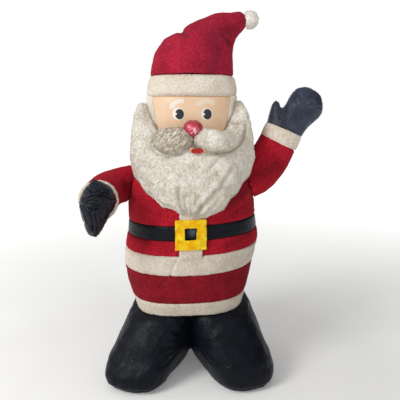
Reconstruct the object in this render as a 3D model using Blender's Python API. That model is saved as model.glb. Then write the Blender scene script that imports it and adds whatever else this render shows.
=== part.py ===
"""Inflatable father christmas yard figure: a sewn envelope of fleece and nylon, blown full.

Metres, +Z up. The figure looks along -Y, its raised arm is at +X, and the middle of its
footprint box stands on the origin. Each cloth panel that differs in cloth is one solid.
"""
import math

import bmesh
import bpy
from mathutils import Vector
from mathutils.bvhtree import BVHTree

# Seams and clearances
SEAM_GAP = 0.0003            # between two panels that are sewn edge to edge
CUT_CLEARANCE = 0.0006       # kept to a neighbour that a piece is fitted round

# Coat levels, from the ground up, at the middle of the front
HEM_BOTTOM = 0.341
HEM_TOP = 0.413
BAND_BOTTOM = 0.560
BAND_TOP = 0.655
BELT_BOTTOM = 0.726
BELT_TOP = 0.796
NECK = 1.118
STRIPE_SLOPE = 0.040         # the stripes climb towards the raised arm
NECK_BLEND = 0.080           # above the neck, where the head comes out of that slope

# The coat's half sizes by height: level, to the low arm, to the raised arm, front, back, and
# its squareness, where 2 is an ellipse and more is boxier
COAT_OUTLINE = (
    (HEM_BOTTOM, 0.272, 0.264, 0.250, 0.234, 3.2),
    (HEM_TOP, 0.298, 0.286, 0.276, 0.258, 2.7),
    (0.475, 0.321, 0.303, 0.290, 0.272, 2.4),
    (BAND_BOTTOM, 0.341, 0.322, 0.300, 0.282, 2.2),
    (BAND_TOP, 0.335, 0.346, 0.300, 0.282, 2.15),
    (0.692, 0.330, 0.350, 0.298, 0.280, 2.15),
    (BELT_BOTTOM, 0.319, 0.339, 0.294, 0.274, 2.15),
    (BELT_TOP, 0.315, 0.331, 0.286, 0.264, 2.15),
    (0.880, 0.317, 0.322, 0.276, 0.258, 2.15),
    (0.970, 0.308, 0.308, 0.262, 0.248, 2.15),
    (1.035, 0.284, 0.284, 0.243, 0.234, 2.15),
    (1.085, 0.246, 0.246, 0.215, 0.212, 2.15),
    (NECK, 0.205, 0.210, 0.192, 0.190, 2.2),
)

# Head, hat brim and hat
HEAD_X = 0.010               # the head sits a little towards the raised arm
HEAD_SQUARENESS = 2.3
FACE_SEAM_Y = -0.118         # the flesh nylon in front of it, the white hair behind it
BRIM_BOTTOM = 1.3835
BRIM_TOP = 1.4795
HEAD_OUTLINE = (             # level, half width, front, back
    (NECK, 0.196, 0.184, 0.186),
    (1.200, 0.202, 0.194, 0.196),
    (1.290, 0.209, 0.200, 0.204),
    (BRIM_BOTTOM, 0.211, 0.200, 0.205),
)
BRIM_OUTLINE = (
    (BRIM_BOTTOM, 0.2170, 0.2100, 0.2100),
    (1.402, 0.2200, 0.2150, 0.2140),
    (1.440, 0.2150, 0.2110, 0.2110),
    (BRIM_TOP, 0.2035, 0.2010, 0.2010),
)
# The hat's bag: centre x, centre z, lean from upright in degrees, half width, half depth
HAT_SECTIONS = (
    (0.0100, BRIM_TOP, 0, 0.2030, 0.2000),
    (0.0105, 1.520, 0, 0.2000, 0.2000),
    (0.0180, 1.583, 2, 0.1900, 0.1880),
    (0.0435, 1.6365, 5, 0.1720, 0.1660),
    (0.0685, 1.6560, 9, 0.1500, 0.1500),
    (0.0870, 1.6640, 11, 0.1360, 0.1400),
    (0.1080, 1.6830, 17, 0.1230, 0.1270),
    (0.1400, 1.7035, 27, 0.1000, 0.1070),
    (0.1800, 1.7230, 39, 0.0780, 0.0850),
    (0.2270, 1.7360, 58, 0.0540, 0.0600),
    (0.2560, 1.7420, 74, 0.0400, 0.0440),
)
HAT_TIP = 0.016              # how far the bag's end domes out
HAT_DENT = 0.16              # how far the fold under the tip is pressed in, as a share
HAT_DENT_SECTION = 7.3       # where along the sections it lies
HAT_DENT_REACH = 1.3         # how far it runs to either side of there, in sections
HAT_DENT_ANGLE = math.radians(-48)   # round the bag, from the raised arm's side to the front
HAT_DENT_SPREAD = 0.6        # and to either side of that, in radians
HAT_Y = -0.008
POMPOM_CENTRE = (0.288, -0.010, 1.742)
POMPOM_RADIUS = 0.040

# Face pieces
NOSE_CENTRE = (0.018, -0.262, 1.238)
NOSE_HALF_SIZE = (0.051, 0.048, 0.039)
NOSE_NARROWING = 0.42        # how much narrower its chin is than its crown, as a share
MOUTH_CENTRE = (0.038, 1.149)        # x and z on the beard's front
MOUTH_HALF_SIZE = (0.0314, 0.0135)
MOUTH_END_SHARE = 0.28       # the share of its height that is left at its two ends
MOUTH_SAG_SHARE = 0.45       # how far its top edge hangs in the middle, as a share
MOUTH_THICKNESS = 0.010

# Beard: its edge against the face, and its outer edge, from the low arm's side round
# under the mouth to the raised arm's side
BEARD_INNER_EDGE = (
    (-0.204, -0.070, 1.376),
    (-0.186, -0.120, 1.300),
    (-0.148, -0.180, 1.228),
    (0.010, -0.212, 1.200),
    (0.164, -0.180, 1.228),
    (0.201, -0.125, 1.300),
    (0.213, -0.080, 1.376),
)
BEARD_OUTER_EDGE = (
    (-0.210, -0.055, 1.366),
    (-0.252, -0.085, 1.292),
    (-0.263, -0.105, 1.170),
    (-0.264, -0.125, 1.040),
    (-0.206, -0.215, 0.950),
    (-0.118, -0.280, 0.884),
    (0.030, -0.300, 0.844),
    (0.122, -0.288, 0.848),
    (0.208, -0.240, 0.926),
    (0.292, -0.130, 1.040),
    (0.292, -0.105, 1.165),
    (0.275, -0.085, 1.275),
    (0.228, -0.055, 1.370),
)
BEARD_TUFTS = 15             # locks along the outer edge
BEARD_TUFT_DEPTH = 0.006
BEARD_FULLNESS = 0.066       # how far the pile bulges in front of the line between its edges
BEARD_BACKING = 0.060        # how far its back reaches behind that line, before it is fitted
BEARD_TOP_SHARE = 0.30       # the fullness left at the two ends, under the hat brim
BEARD_END_ROUNDING = 0.5     # exponents: less is fuller towards the ends, and towards the edges
BEARD_EDGE_ROUNDING = 0.8
BEARD_AXIS_Y = 0.040         # the pile bulges away from an upright line here, inside the head

# Moustache lobes: centre x, y, z, half depth, half height
MOUSTACHE_DROOPING = (
    (0.008, -0.262, 1.200, 0.030, 0.032),
    (-0.035, -0.272, 1.196, 0.042, 0.053),
    (-0.080, -0.262, 1.183, 0.046, 0.060),
    (-0.120, -0.242, 1.186, 0.042, 0.054),
    (-0.152, -0.222, 1.203, 0.028, 0.032),
)
MOUSTACHE_CURLED = (
    (0.030, -0.262, 1.202, 0.030, 0.032),
    (0.075, -0.272, 1.196, 0.042, 0.050),
    (0.120, -0.262, 1.182, 0.046, 0.050),
    (0.165, -0.238, 1.184, 0.040, 0.041),
    (0.205, -0.208, 1.199, 0.029, 0.029),
    (0.232, -0.188, 1.222, 0.018, 0.017),
    (0.246, -0.180, 1.240, 0.009, 0.009),
)
MOUSTACHE_END = 0.010

# Low arm and raised arm: centre x, y, z, half width, half depth, from the shoulder out
LOW_SLEEVE = (
    (-0.215, -0.020, 0.962, 0.092, 0.098),
    (-0.310, -0.032, 0.956, 0.088, 0.089),
    (-0.388, -0.100, 0.942, 0.090, 0.088),
    (-0.406, -0.210, 0.931, 0.089, 0.090),
    (-0.407, -0.305, 0.924, 0.087, 0.091),
)
LOW_CUFF_LENGTH = 0.030
LOW_MITTEN = (
    (-0.402, -0.336, 0.922, 0.077, 0.083),
    (-0.393, -0.390, 0.914, 0.073, 0.086),
    (-0.393, -0.430, 0.886, 0.066, 0.074),
    (-0.402, -0.447, 0.853, 0.052, 0.053),
    (-0.408, -0.449, 0.823, 0.031, 0.032),
)
LOW_THUMB = (
    (-0.396, -0.385, 0.955, 0.064, 0.052),
    (-0.401, -0.385, 0.988, 0.047, 0.040),
    (-0.406, -0.386, 1.014, 0.019, 0.020),
)
RAISED_SLEEVE = (
    (0.215, -0.020, 0.955, 0.094, 0.094),
    (0.318, -0.020, 0.988, 0.099, 0.096),
    (0.380, -0.020, 1.055, 0.101, 0.096),
    (0.414, -0.020, 1.112, 0.098, 0.095),
    (0.4375, -0.020, 1.156, 0.094, 0.092),
)
RAISED_CUFF_LENGTH = 0.074
RAISED_MITTEN = (
    (0.464, -0.020, 1.220, 0.091, 0.080),
    (0.496, -0.022, 1.262, 0.089, 0.070),
    (0.543, -0.026, 1.312, 0.094, 0.062),
    (0.582, -0.030, 1.353, 0.081, 0.054),
    (0.605, -0.032, 1.379, 0.055, 0.044),
)
RAISED_THUMB = (
    (0.452, -0.026, 1.245, 0.070, 0.054),
    (0.428, -0.030, 1.292, 0.041, 0.040),
    (0.417, -0.032, 1.335, 0.022, 0.024),
)
CUFF_STAND = 0.003           # the fleece cuff is this much fuller than the sleeve
CUFF_SEAM = 0.0012           # between the two, before the cuff is fitted
CUFF_PROFILE = ((0.0, 0.0), (0.12, 1.0), (0.88, 1.0), (1.0, -0.3))   # along it, of its stand
DOME_ANGLES = (0.6, 1.1, 1.4)        # radians up a rounded tip, one ring each
MITTEN_DOME = 0.8            # how far the tips dome out, as shares of their last half depth
THUMB_DOME = 0.9

# Legs: level, centre from the middle seam, centre front to back, half width, half depth,
# degrees toed out. The heels meet at the back.
LEG_OUTLINE = (
    (0.000, 0.198, -0.086, 0.128, 0.262, 21),
    (0.030, 0.200, -0.086, 0.158, 0.290, 21),
    (0.085, 0.198, -0.082, 0.174, 0.302, 20),
    (0.130, 0.192, -0.075, 0.180, 0.300, 17.5),
    (0.200, 0.176, -0.056, 0.173, 0.282, 12),
    (0.270, 0.160, -0.034, 0.168, 0.264, 6),
    (0.312, 0.150, -0.014, 0.162, 0.250, 2),
    (0.333, 0.143, -0.006, 0.151, 0.237, 0),
    (HEM_BOTTOM, 0.132, -0.006, 0.132, 0.222, 0),
)
LEG_SQUARENESS = 2.9
LEG_RING_LEVELS = (0.0, 0.012, 0.035, 0.08, 0.13, 0.19, 0.25, 0.30, 0.325, HEM_BOTTOM - SEAM_GAP)

# Placket and buckle on the coat's front
PLACKET_X = 0.008
PLACKET_HALF_WIDTH = 0.053
PLACKET_THICKNESS = 0.005
PLACKET_TOP = 0.900          # tucked up under the beard
BUCKLE_X = 0.008
BUCKLE_HALF_WIDTH = 0.0725
BUCKLE_TOP = 0.828
BUCKLE_BOTTOM = 0.688
BUCKLE_SIDE_BAR = 0.0455     # the widths of the felt round the window
BUCKLE_TOP_BAR = 0.040
BUCKLE_BOTTOM_BAR = 0.047
BUCKLE_THICKNESS = 0.009

# How finely the solids are faceted: the points round a ring, and the rings
COAT_SIDES = 32
HEAD_SIDES = 30
HEAD_RINGS = 6
BRIM_RINGS = 5
HAT_SIDES = 24
POMPOM_SIDES = 14
POMPOM_RINGS = 7
NOSE_SIDES = 16
NOSE_RINGS = 7
MOUTH_GRID = (4, 9)
BEARD_SIDES = 12
MOUSTACHE_SIDES = 12
MOUSTACHE_RINGS = 8
ARM_SIDES = 18
SLEEVE_RINGS = 9
CUFF_RINGS = 5
HAND_SIDES = 14
MITTEN_RINGS = 8
THUMB_SIDES = 10
THUMB_RINGS = 5
LEG_SIDES = 28
PLACKET_GRID = (4, 7)
CORNER_ANGLE = math.radians(50)      # edges sharper than this are shaded as corners

UP = Vector((0, 0, 1))
FORWARD = Vector((0, -1, 0))
FAR_AHEAD = 2.0              # in front of everything


# Smooth values between the rows of a table

def between_rows(rows, key):
    """The columns after the first at this key, on a smooth curve through the rows."""
    keys = [row[0] for row in rows]
    last = len(rows) - 1
    key = min(max(key, keys[0]), keys[last])
    i = max(k for k in range(last) if keys[k] <= key)

    def slope(k, column):
        before, after = max(k - 1, 0), min(k + 1, last)
        return (rows[after][column] - rows[before][column]) / (keys[after] - keys[before])

    span = keys[i + 1] - keys[i]
    t = (key - keys[i]) / span
    values = []
    for column in range(1, len(rows[0])):
        a, b = rows[i][column], rows[i + 1][column]
        m, n = slope(i, column) * span, slope(i + 1, column) * span
        values.append(
            a * (1 + 2 * t) * (1 - t) ** 2 + m * t * (1 - t) ** 2
            + b * t * t * (3 - 2 * t) + n * t * t * (t - 1)
        )
    return values


def along_chord(points):
    """The points as table rows, keyed by their share of the way along, from 0 to 1."""
    steps = [0.0]
    for a, b in zip(points, points[1:]):
        steps.append(steps[-1] + (Vector(b[:3]) - Vector(a[:3])).length)
    return [(step / steps[-1], *point) for step, point in zip(steps, points)]


def levels(low, high, count):
    return [low + (high - low) * i / (count - 1) for i in range(count)]


# Rings

def power(value, exponent):
    return math.copysign(abs(value) ** exponent, value)


def round_ring(sides, squareness, low_x, high_x, front, back, centre_x=0.0, centre_y=0.0):
    """A ring of (x, y) whose four quarters may differ in size, counter-clockwise from +X."""
    ring = []
    for k in range(sides):
        angle = math.tau * k / sides
        x = power(math.cos(angle), 2 / squareness)
        y = power(math.sin(angle), 2 / squareness)
        x *= high_x if x > 0 else low_x
        y *= back if y > 0 else front
        ring.append((centre_x + x, centre_y + y))
    return ring


def coat_ring(level, stand=0.0, sides=COAT_SIDES):
    """The coat's outline at this level, standing this much proud of the cloth."""
    *sizes, squareness = between_rows(COAT_OUTLINE, level)
    ring = round_ring(sides, squareness, *(size + stand for size in sizes))
    return [Vector((x, y, level + STRIPE_SLOPE * x)) for x, y in ring]


def coat_front(x, level, stand):
    """The point on the coat's front at this x, standing this much proud of the cloth."""
    low, high, front, _, squareness = between_rows(COAT_OUTLINE, level)
    share = abs(x) / ((high if x > 0 else low) + stand)
    y = -(front + stand) * (1 - share ** squareness) ** (1 / squareness)
    return Vector((x, y, level + STRIPE_SLOPE * x))


def head_ring(outline, level, sides=HEAD_SIDES):
    """The head's or the brim's outline. Near the neck it takes up the coat's slope."""
    half_width, front, back = between_rows(outline, level)
    ring = round_ring(sides, HEAD_SQUARENESS, half_width, half_width, front, back, HEAD_X)
    slope = STRIPE_SLOPE * max(0.0, 1 - (level - NECK) / NECK_BLEND)
    return [Vector((x, y, level + slope * x)) for x, y in ring]


def swept_rings(rows, count, across, sides, dome=0.0):
    """Oval rings square to a smooth line through the rows. across is the direction that
    the second half size lies nearest to. dome adds rings that close the far end round."""
    table = along_chord(rows)
    places = levels(0.0, 1.0, count)
    found = [between_rows(table, share) for share in places]
    centres = [Vector(row[:3]) for row in found]
    rings = []
    for i, row in enumerate(found):
        tangent = (centres[min(i + 1, count - 1)] - centres[max(i - 1, 0)]).normalized()
        first = tangent.cross(Vector(across)).normalized()
        second = first.cross(tangent)
        shares = [(1.0, 0.0)]
        if dome and i == count - 1:
            shares += [(math.cos(a), math.sin(a) * dome) for a in DOME_ANGLES]
        for share, forward in shares:
            rings.append([
                centres[i] + tangent * forward
                + first * (row[3] * share * math.cos(math.tau * k / sides))
                + second * (row[4] * share * math.sin(math.tau * k / sides))
                for k in range(sides)
            ])
    return rings


# Meshes

def new_object(name, mesh, material):
    mesh.materials.append(material)
    piece = bpy.data.objects.new(name, mesh)
    bpy.context.scene.collection.objects.link(piece)
    return piece


def mesh_from(name, work):
    """A mesh of triangles with its faces turned out, smooth but for true corners."""
    bmesh.ops.recalc_face_normals(work, faces=work.faces)
    bmesh.ops.triangulate(work, faces=work.faces)
    mesh = bpy.data.meshes.new(name)
    work.to_mesh(mesh)
    work.free()
    mesh.shade_smooth()
    mesh.set_sharp_from_angle(angle=CORNER_ANGLE)
    return mesh


def loft(name, rings, material):
    """A closed solid through rings that all have the same number of points."""
    work = bmesh.new()
    rows = [[work.verts.new(point) for point in ring] for ring in rings]
    for lower, upper in zip(rows, rows[1:]):
        for k in range(len(lower)):
            after = (k + 1) % len(lower)
            work.faces.new((lower[k], lower[after], upper[after], upper[k]))
    work.faces.new(rows[0][::-1])
    work.faces.new(rows[-1])
    return new_object(name, mesh_from(name, work), material)


def grid_solid(name, front, back, material, hole=None):
    """A plate between two grids of points. hole leaves out the cells (i, j) that it names."""
    work = bmesh.new()
    hole = hole or set()
    rows, columns = len(front), len(front[0])
    layers = [[[work.verts.new(p) for p in row] for row in side] for side in (front, back)]
    cells = {(i, j) for i in range(rows - 1) for j in range(columns - 1)} - hole
    for i, j in cells:
        corners = ((i, j), (i, j + 1), (i + 1, j + 1), (i + 1, j))
        work.faces.new([layers[0][a][b] for a, b in corners])
        work.faces.new([layers[1][a][b] for a, b in reversed(corners)])
        beside = ((i - 1, j), (i, j + 1), (i + 1, j), (i, j - 1))
        for (a, b), (c, d), cell in zip(corners, corners[1:] + corners[:1], beside):
            if cell not in cells:
                work.faces.new((layers[0][c][d], layers[0][a][b],
                                layers[1][a][b], layers[1][c][d]))
    loose = [vert for vert in work.verts if not vert.link_faces]
    bmesh.ops.delete(work, geom=loose, context="VERTS")
    return new_object(name, mesh_from(name, work), material)


def helper(piece):
    piece.hide_render = True
    piece.display_type = "WIRE"
    return piece


def grown(piece, clearance=CUT_CLEARANCE):
    """A hidden copy of a piece, this much fuller, that its neighbours are fitted round."""
    name = "cutter_" + piece.name
    if name in bpy.data.objects:
        return bpy.data.objects[name]
    work = bmesh.new()
    work.from_mesh(piece.data)
    work.normal_update()
    moves = [vert.normal * min(vert.calc_shell_factor(), 3.0) for vert in work.verts]
    for vert, move in zip(work.verts, moves):
        vert.co += move * clearance
    mesh = bpy.data.meshes.new(name)
    work.to_mesh(mesh)
    work.free()
    return helper(new_object(name, mesh, piece.data.materials[0]))


def boolean(piece, other, operation):
    modifier = piece.modifiers.new(operation.lower() + "_" + other.name, "BOOLEAN")
    modifier.operation = operation
    modifier.solver = "EXACT"
    modifier.object = other


def fit_round(piece, *neighbours):
    """Cuts a piece back to where its neighbours begin."""
    for neighbour in neighbours:
        boolean(piece, grown(neighbour), "DIFFERENCE")


def front_of(piece, x, z):
    """Where a line from straight ahead at this x and z meets a piece."""
    shape = BVHTree.FromObject(piece, bpy.context.evaluated_depsgraph_get())
    return shape.ray_cast(Vector((x, -FAR_AHEAD, z)), -FORWARD)[0]


# Cloths

def cloth(name, colour, roughness, metallic=0.0):
    """A plain material. The colour is linear."""
    material = bpy.data.materials.new(name)
    material.use_nodes = True
    shader = material.node_tree.nodes["Principled BSDF"]
    shader.inputs["Base Color"].default_value = (*colour, 1)
    shader.inputs["Roughness"].default_value = roughness
    shader.inputs["Metallic"].default_value = metallic
    return material


# Sub-parts

def coat_panel(name, low, high, count, material):
    """One cloth of the coat, all the way round, between two seams."""
    rings = [coat_ring(level) for level in levels(low, high - SEAM_GAP, count)]
    return loft(name, rings, material)


def coat(red, white, nylon):
    chest = coat_panel("coat_chest", BELT_TOP, NECK, 8, red)
    coat_panel("belt", BELT_BOTTOM, BELT_TOP, 3, nylon)
    coat_panel("coat_waist", BAND_TOP, BELT_BOTTOM, 4, red)
    coat_panel("coat_band", BAND_BOTTOM, BAND_TOP, 4, white)
    coat_panel("coat_skirt", HEM_TOP, BAND_BOTTOM, 5, red)
    coat_panel("coat_hem", HEM_BOTTOM, HEM_TOP, 4, white)
    return chest


def placket_strip(name, low, high, material):
    """A strip of fleece on the coat's front between two levels."""
    down, across = PLACKET_GRID
    columns = levels(PLACKET_X - PLACKET_HALF_WIDTH, PLACKET_X + PLACKET_HALF_WIDTH, across)
    rows = levels(low, high, down)
    outer = CUT_CLEARANCE + PLACKET_THICKNESS
    front = [[coat_front(x, level, outer) for x in columns] for level in rows]
    back = [[coat_front(x, level, 2 * CUT_CLEARANCE) for x in columns] for level in rows]
    return grid_solid(name, front, back, material)


def buckle(material):
    """A felt plate over belt and placket, with a window that shows the belt."""
    stand = PLACKET_THICKNESS + 3 * CUT_CLEARANCE
    outer_edge, bar = BUCKLE_HALF_WIDTH, BUCKLE_SIDE_BAR
    to_one_side = (outer_edge, outer_edge - bar / 2, outer_edge - bar)
    columns = [BUCKLE_X + x for x in (*(-x for x in to_one_side), 0, *reversed(to_one_side))]
    rows = [BUCKLE_BOTTOM, BUCKLE_BOTTOM + BUCKLE_BOTTOM_BAR, BUCKLE_TOP - BUCKLE_TOP_BAR,
            BUCKLE_TOP]
    front = [[coat_front(x, level, stand + BUCKLE_THICKNESS) for x in columns] for level in rows]
    back = [[coat_front(x, level, stand) for x in columns] for level in rows]
    return grid_solid("buckle", front, back, material, hole={(1, 2), (1, 3)})


def head_half(name, keep_front, material):
    """The head's front or its back, parted at the face seam."""
    rings = [head_ring(HEAD_OUTLINE, level)
             for level in levels(NECK + SEAM_GAP, BRIM_BOTTOM - SEAM_GAP, HEAD_RINGS)]
    piece = loft(name, rings, material)
    work = bmesh.new()
    work.from_mesh(piece.data)
    seam = FACE_SEAM_Y - SEAM_GAP / 2 if keep_front else FACE_SEAM_Y + SEAM_GAP / 2
    everything = work.verts[:] + work.edges[:] + work.faces[:]
    bmesh.ops.bisect_plane(work, geom=everything, dist=1e-6, plane_co=(0, seam, 0),
                           plane_no=(0, 1, 0), clear_outer=keep_front,
                           clear_inner=not keep_front)
    open_edges = [edge for edge in work.edges if edge.is_boundary]
    bmesh.ops.holes_fill(work, edges=open_edges)
    bmesh.ops.recalc_face_normals(work, faces=work.faces)
    work.to_mesh(piece.data)
    work.free()
    return piece


def hat_brim(material):
    rings = [head_ring(BRIM_OUTLINE, level)
             for level in levels(BRIM_BOTTOM, BRIM_TOP - SEAM_GAP, BRIM_RINGS)]
    return loft("hat_brim", rings, material)


def hat_dent(place, angle):
    """The share of the radius that is left here, where the bag folds over."""
    turn = math.remainder(angle - HAT_DENT_ANGLE, math.tau)
    along = (place - HAT_DENT_SECTION) / HAT_DENT_REACH
    return 1 - HAT_DENT * math.exp(-along ** 2 - (turn / HAT_DENT_SPREAD) ** 2)


def hat_ring(place, share=1.0, forward=0.0):
    x, z, lean, half_width, half_depth = HAT_SECTIONS[place]
    lean = math.radians(lean)
    along = Vector((math.sin(lean), 0, math.cos(lean)))
    across = Vector((math.cos(lean), 0, -math.sin(lean)))
    centre = Vector((x, HAT_Y, z)) + along * forward
    ring = []
    for k in range(HAT_SIDES):
        angle = math.tau * k / HAT_SIDES
        left = share * hat_dent(place, angle)
        ring.append(centre + across * (half_width * left * math.cos(angle))
                    + Vector((0, half_depth * left * math.sin(angle), 0)))
    return ring


def hat_bag(material):
    last = len(HAT_SECTIONS) - 1
    rings = [hat_ring(place) for place in range(len(HAT_SECTIONS))]
    rings += [hat_ring(last, math.cos(a), math.sin(a) * HAT_TIP) for a in DOME_ANGLES]
    return loft("hat_bag", rings, material)


def ball(name, centre, half_size, sides, rows, material, narrowing=0.0):
    """An ellipsoid whose rings face the front. narrowing draws it in towards the bottom."""
    rings = []
    for i in range(rows):
        angle = math.pi * (i + 0.5) / rows
        ring = []
        for k in range(sides):
            across = math.cos(math.tau * k / sides)
            up = math.sin(math.tau * k / sides)
            across *= 1 - narrowing * (1 - up) / 2
            ring.append(Vector(centre) + Vector((
                half_size[0] * math.sin(angle) * across,
                half_size[1] * math.cos(angle),
                half_size[2] * math.sin(angle) * up)))
        rings.append(ring)
    return loft(name, rings, material)


def beard(material):
    """A thick bib of pile: sections from the face's edge to the outer edge, all the way
    round from one side of the hat brim to the other."""
    inner, outer = along_chord(BEARD_INNER_EDGE), along_chord(BEARD_OUTER_EDGE)
    rings = []
    for share in levels(0.0, 1.0, 2 * BEARD_TUFTS + 1):
        near = Vector(between_rows(inner, share))
        far = Vector(between_rows(outer, share))
        line = far - near
        middle = (near + far) / 2
        outward = Vector((middle.x - HEAD_X, middle.y - BEARD_AXIS_Y, 0)).normalized()
        outward = (outward - outward.project(line)).normalized()
        ends = math.sin(math.pi * share) ** BEARD_END_ROUNDING if 0 < share < 1 else 0.0
        fullness = BEARD_TOP_SHARE + (1 - BEARD_TOP_SHARE) * ends
        tuft = BEARD_TUFT_DEPTH * math.cos(math.tau * BEARD_TUFTS * share) * ends
        line += line.normalized() * tuft
        ring = []
        for k in range(BEARD_SIDES):
            angle = math.tau * k / BEARD_SIDES
            reach = (1 - math.cos(angle)) / 2
            bulge = power(math.sin(angle), BEARD_EDGE_ROUNDING) * fullness
            bulge *= BEARD_FULLNESS if bulge > 0 else BEARD_BACKING
            ring.append(near + line * reach + outward * bulge)
        rings.append(ring)
    return loft("beard", rings, material)


def mouth(beard_piece, material):
    """The lower lip: a small half moon of felt on the beard's front."""
    down, across = MOUTH_GRID
    columns = levels(-1.0, 1.0, across)
    rows = levels(0.0, 1.0, down)
    front, back = [], []
    for row in rows:
        front_row, back_row = [], []
        for column in columns:
            x = MOUTH_CENTRE[0] + MOUTH_HALF_SIZE[0] * column
            left = math.sqrt(1 - (1 - MOUTH_END_SHARE ** 2) * column * column)
            low = -MOUTH_HALF_SIZE[1] * left
            high = MOUTH_HALF_SIZE[1] * (1 - MOUTH_SAG_SHARE * (1 - column * column))
            z = MOUTH_CENTRE[1] + low + (high - low) * row
            on_beard = front_of(beard_piece, x, z)
            front_row.append(on_beard + FORWARD * (MOUTH_THICKNESS + CUT_CLEARANCE))
            back_row.append(on_beard - FORWARD * MOUTH_THICKNESS)
        front.append(front_row)
        back.append(back_row)
    return grid_solid("mouth", front, back, material)


def moustache(name, rows, material):
    rings = swept_rings(rows, MOUSTACHE_RINGS, UP, MOUSTACHE_SIDES, MOUSTACHE_END)
    return loft(name, rings, material)


def arm(side, sleeve_rows, cuff_length, mitten_rows, thumb_rows, across, hand_across, cloths):
    """A sleeve, its cuff and a mitten with a thumb, from the shoulder out."""
    red, white, nylon = cloths
    sleeve_rings = swept_rings(sleeve_rows, SLEEVE_RINGS, across, ARM_SIDES)
    sleeve = loft("sleeve_" + side, sleeve_rings, red)

    wrist = Vector(sleeve_rows[-1][:3])
    ahead = (Vector(mitten_rows[0][:3]) - wrist).normalized()
    start = wrist + ahead * CUFF_SEAM
    cuff_rows = [
        (*(start + ahead * cuff_length * share), *(
            size + CUFF_STAND * fuller for size in sleeve_rows[-1][3:]))
        for share, fuller in CUFF_PROFILE
    ]
    cuff = loft("cuff_" + side, swept_rings(cuff_rows, CUFF_RINGS, across, ARM_SIDES), white)
    fit_round(cuff, sleeve)

    mitten_rings = swept_rings(mitten_rows, MITTEN_RINGS, hand_across, HAND_SIDES,
                               mitten_rows[-1][4] * MITTEN_DOME)
    thumb_rings = swept_rings(thumb_rows, THUMB_RINGS, hand_across, THUMB_SIDES,
                              thumb_rows[-1][4] * THUMB_DOME)
    mitten = loft("mitten_" + side, mitten_rings, nylon)
    thumb = loft("thumb_" + side, thumb_rings, nylon)
    boolean(mitten, helper(thumb), "UNION")
    fit_round(mitten, cuff)
    return sleeve


def leg(name, side, material):
    """A splayed leg with a flat sole. side is -1 or 1. It is cut flat at the middle seam."""
    rings = []
    for level in LEG_RING_LEVELS:
        centre_x, centre_y, half_width, half_depth, toe_out = between_rows(LEG_OUTLINE, level)
        turn = math.radians(toe_out)
        ring = []
        for x, y in round_ring(LEG_SIDES, LEG_SQUARENESS, half_width, half_width,
                               half_depth, half_depth):
            turned_x = x * math.cos(turn) - y * math.sin(turn)
            turned_y = x * math.sin(turn) + y * math.cos(turn)
            across = max(centre_x + turned_x, SEAM_GAP / 2) * side
            lift = STRIPE_SLOPE * across * level / HEM_BOTTOM
            ring.append(Vector((across, centre_y + turned_y, level + lift)))
        rings.append(ring)
    return loft(name, rings, material)


def centre_on_origin():
    """Hangs every piece on one empty that brings the middle of its footprint to 0, 0."""
    graph = bpy.context.evaluated_depsgraph_get()
    shown = [piece for piece in bpy.context.scene.objects if not piece.hide_render]
    corners = [Vector(corner) for piece in shown for corner in piece.evaluated_get(graph).bound_box]
    middle = [(min(c[axis] for c in corners) + max(c[axis] for c in corners)) / 2
              for axis in (0, 1)]
    figure = bpy.data.objects.new("figure", None)
    for piece in list(bpy.context.scene.objects):
        piece.parent = figure
    bpy.context.scene.collection.objects.link(figure)
    figure.location = (-middle[0], -middle[1], 0)


def main():
    for old in list(bpy.data.objects):
        bpy.data.objects.remove(old)
    red = cloth("red_fleece", (0.36, 0.018, 0.035), 0.95)
    white = cloth("cream_fleece", (0.62, 0.56, 0.48), 0.95)
    nylon = cloth("black_nylon", (0.020, 0.022, 0.028), 0.45)
    flesh = cloth("flesh_nylon", (0.76, 0.58, 0.42), 0.55)
    nose_red = cloth("nose_nylon", (0.55, 0.03, 0.09), 0.30)
    lip_red = cloth("lip_felt", (0.45, 0.03, 0.03), 0.85)
    yellow = cloth("yellow_felt", (0.78, 0.50, 0.02), 0.85)

    chest = coat(red, white, nylon)
    placket_strip("placket_upper", BELT_TOP + SEAM_GAP, PLACKET_TOP, white)
    placket_strip("placket_lower", BAND_TOP + SEAM_GAP, BELT_BOTTOM - SEAM_GAP, white)
    buckle(yellow)

    face = head_half("face", True, flesh)
    hair = head_half("hair", False, white)
    brim = hat_brim(white)
    bag = hat_bag(red)
    pompom = ball("hat_pompom", POMPOM_CENTRE, (POMPOM_RADIUS,) * 3, POMPOM_SIDES,
                  POMPOM_RINGS, white)
    fit_round(pompom, bag)

    cloths = (red, white, nylon)
    low = arm("low", LOW_SLEEVE, LOW_CUFF_LENGTH, LOW_MITTEN, LOW_THUMB, UP,
              (1, 0, 0), cloths)
    raised = arm("raised", RAISED_SLEEVE, RAISED_CUFF_LENGTH, RAISED_MITTEN, RAISED_THUMB,
                 (0, 1, 0), (0, 1, 0), cloths)
    fit_round(low, chest)
    fit_round(raised, chest)

    beard_piece = beard(white)
    lip = mouth(beard_piece, lip_red)
    fit_round(beard_piece, chest, face, hair, brim, low, raised,
              bpy.data.objects["placket_upper"])
    fit_round(lip, beard_piece)

    nose = ball("nose", NOSE_CENTRE, NOSE_HALF_SIZE, NOSE_SIDES, NOSE_RINGS, nose_red,
                NOSE_NARROWING)
    fit_round(nose, face, beard_piece)
    drooping = moustache("moustache_drooping", MOUSTACHE_DROOPING, white)
    curled = moustache("moustache_curled", MOUSTACHE_CURLED, white)
    for lobe in (drooping, curled):
        fit_round(lobe, nose, beard_piece, face, lip)
    fit_round(curled, drooping)

    leg("leg_low", -1, nylon)
    leg("leg_raised", 1, nylon)
    centre_on_origin()


main()
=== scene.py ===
import math

import bpy
import numpy as np
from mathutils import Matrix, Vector
from mathutils.bvhtree import BVHTree


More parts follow.
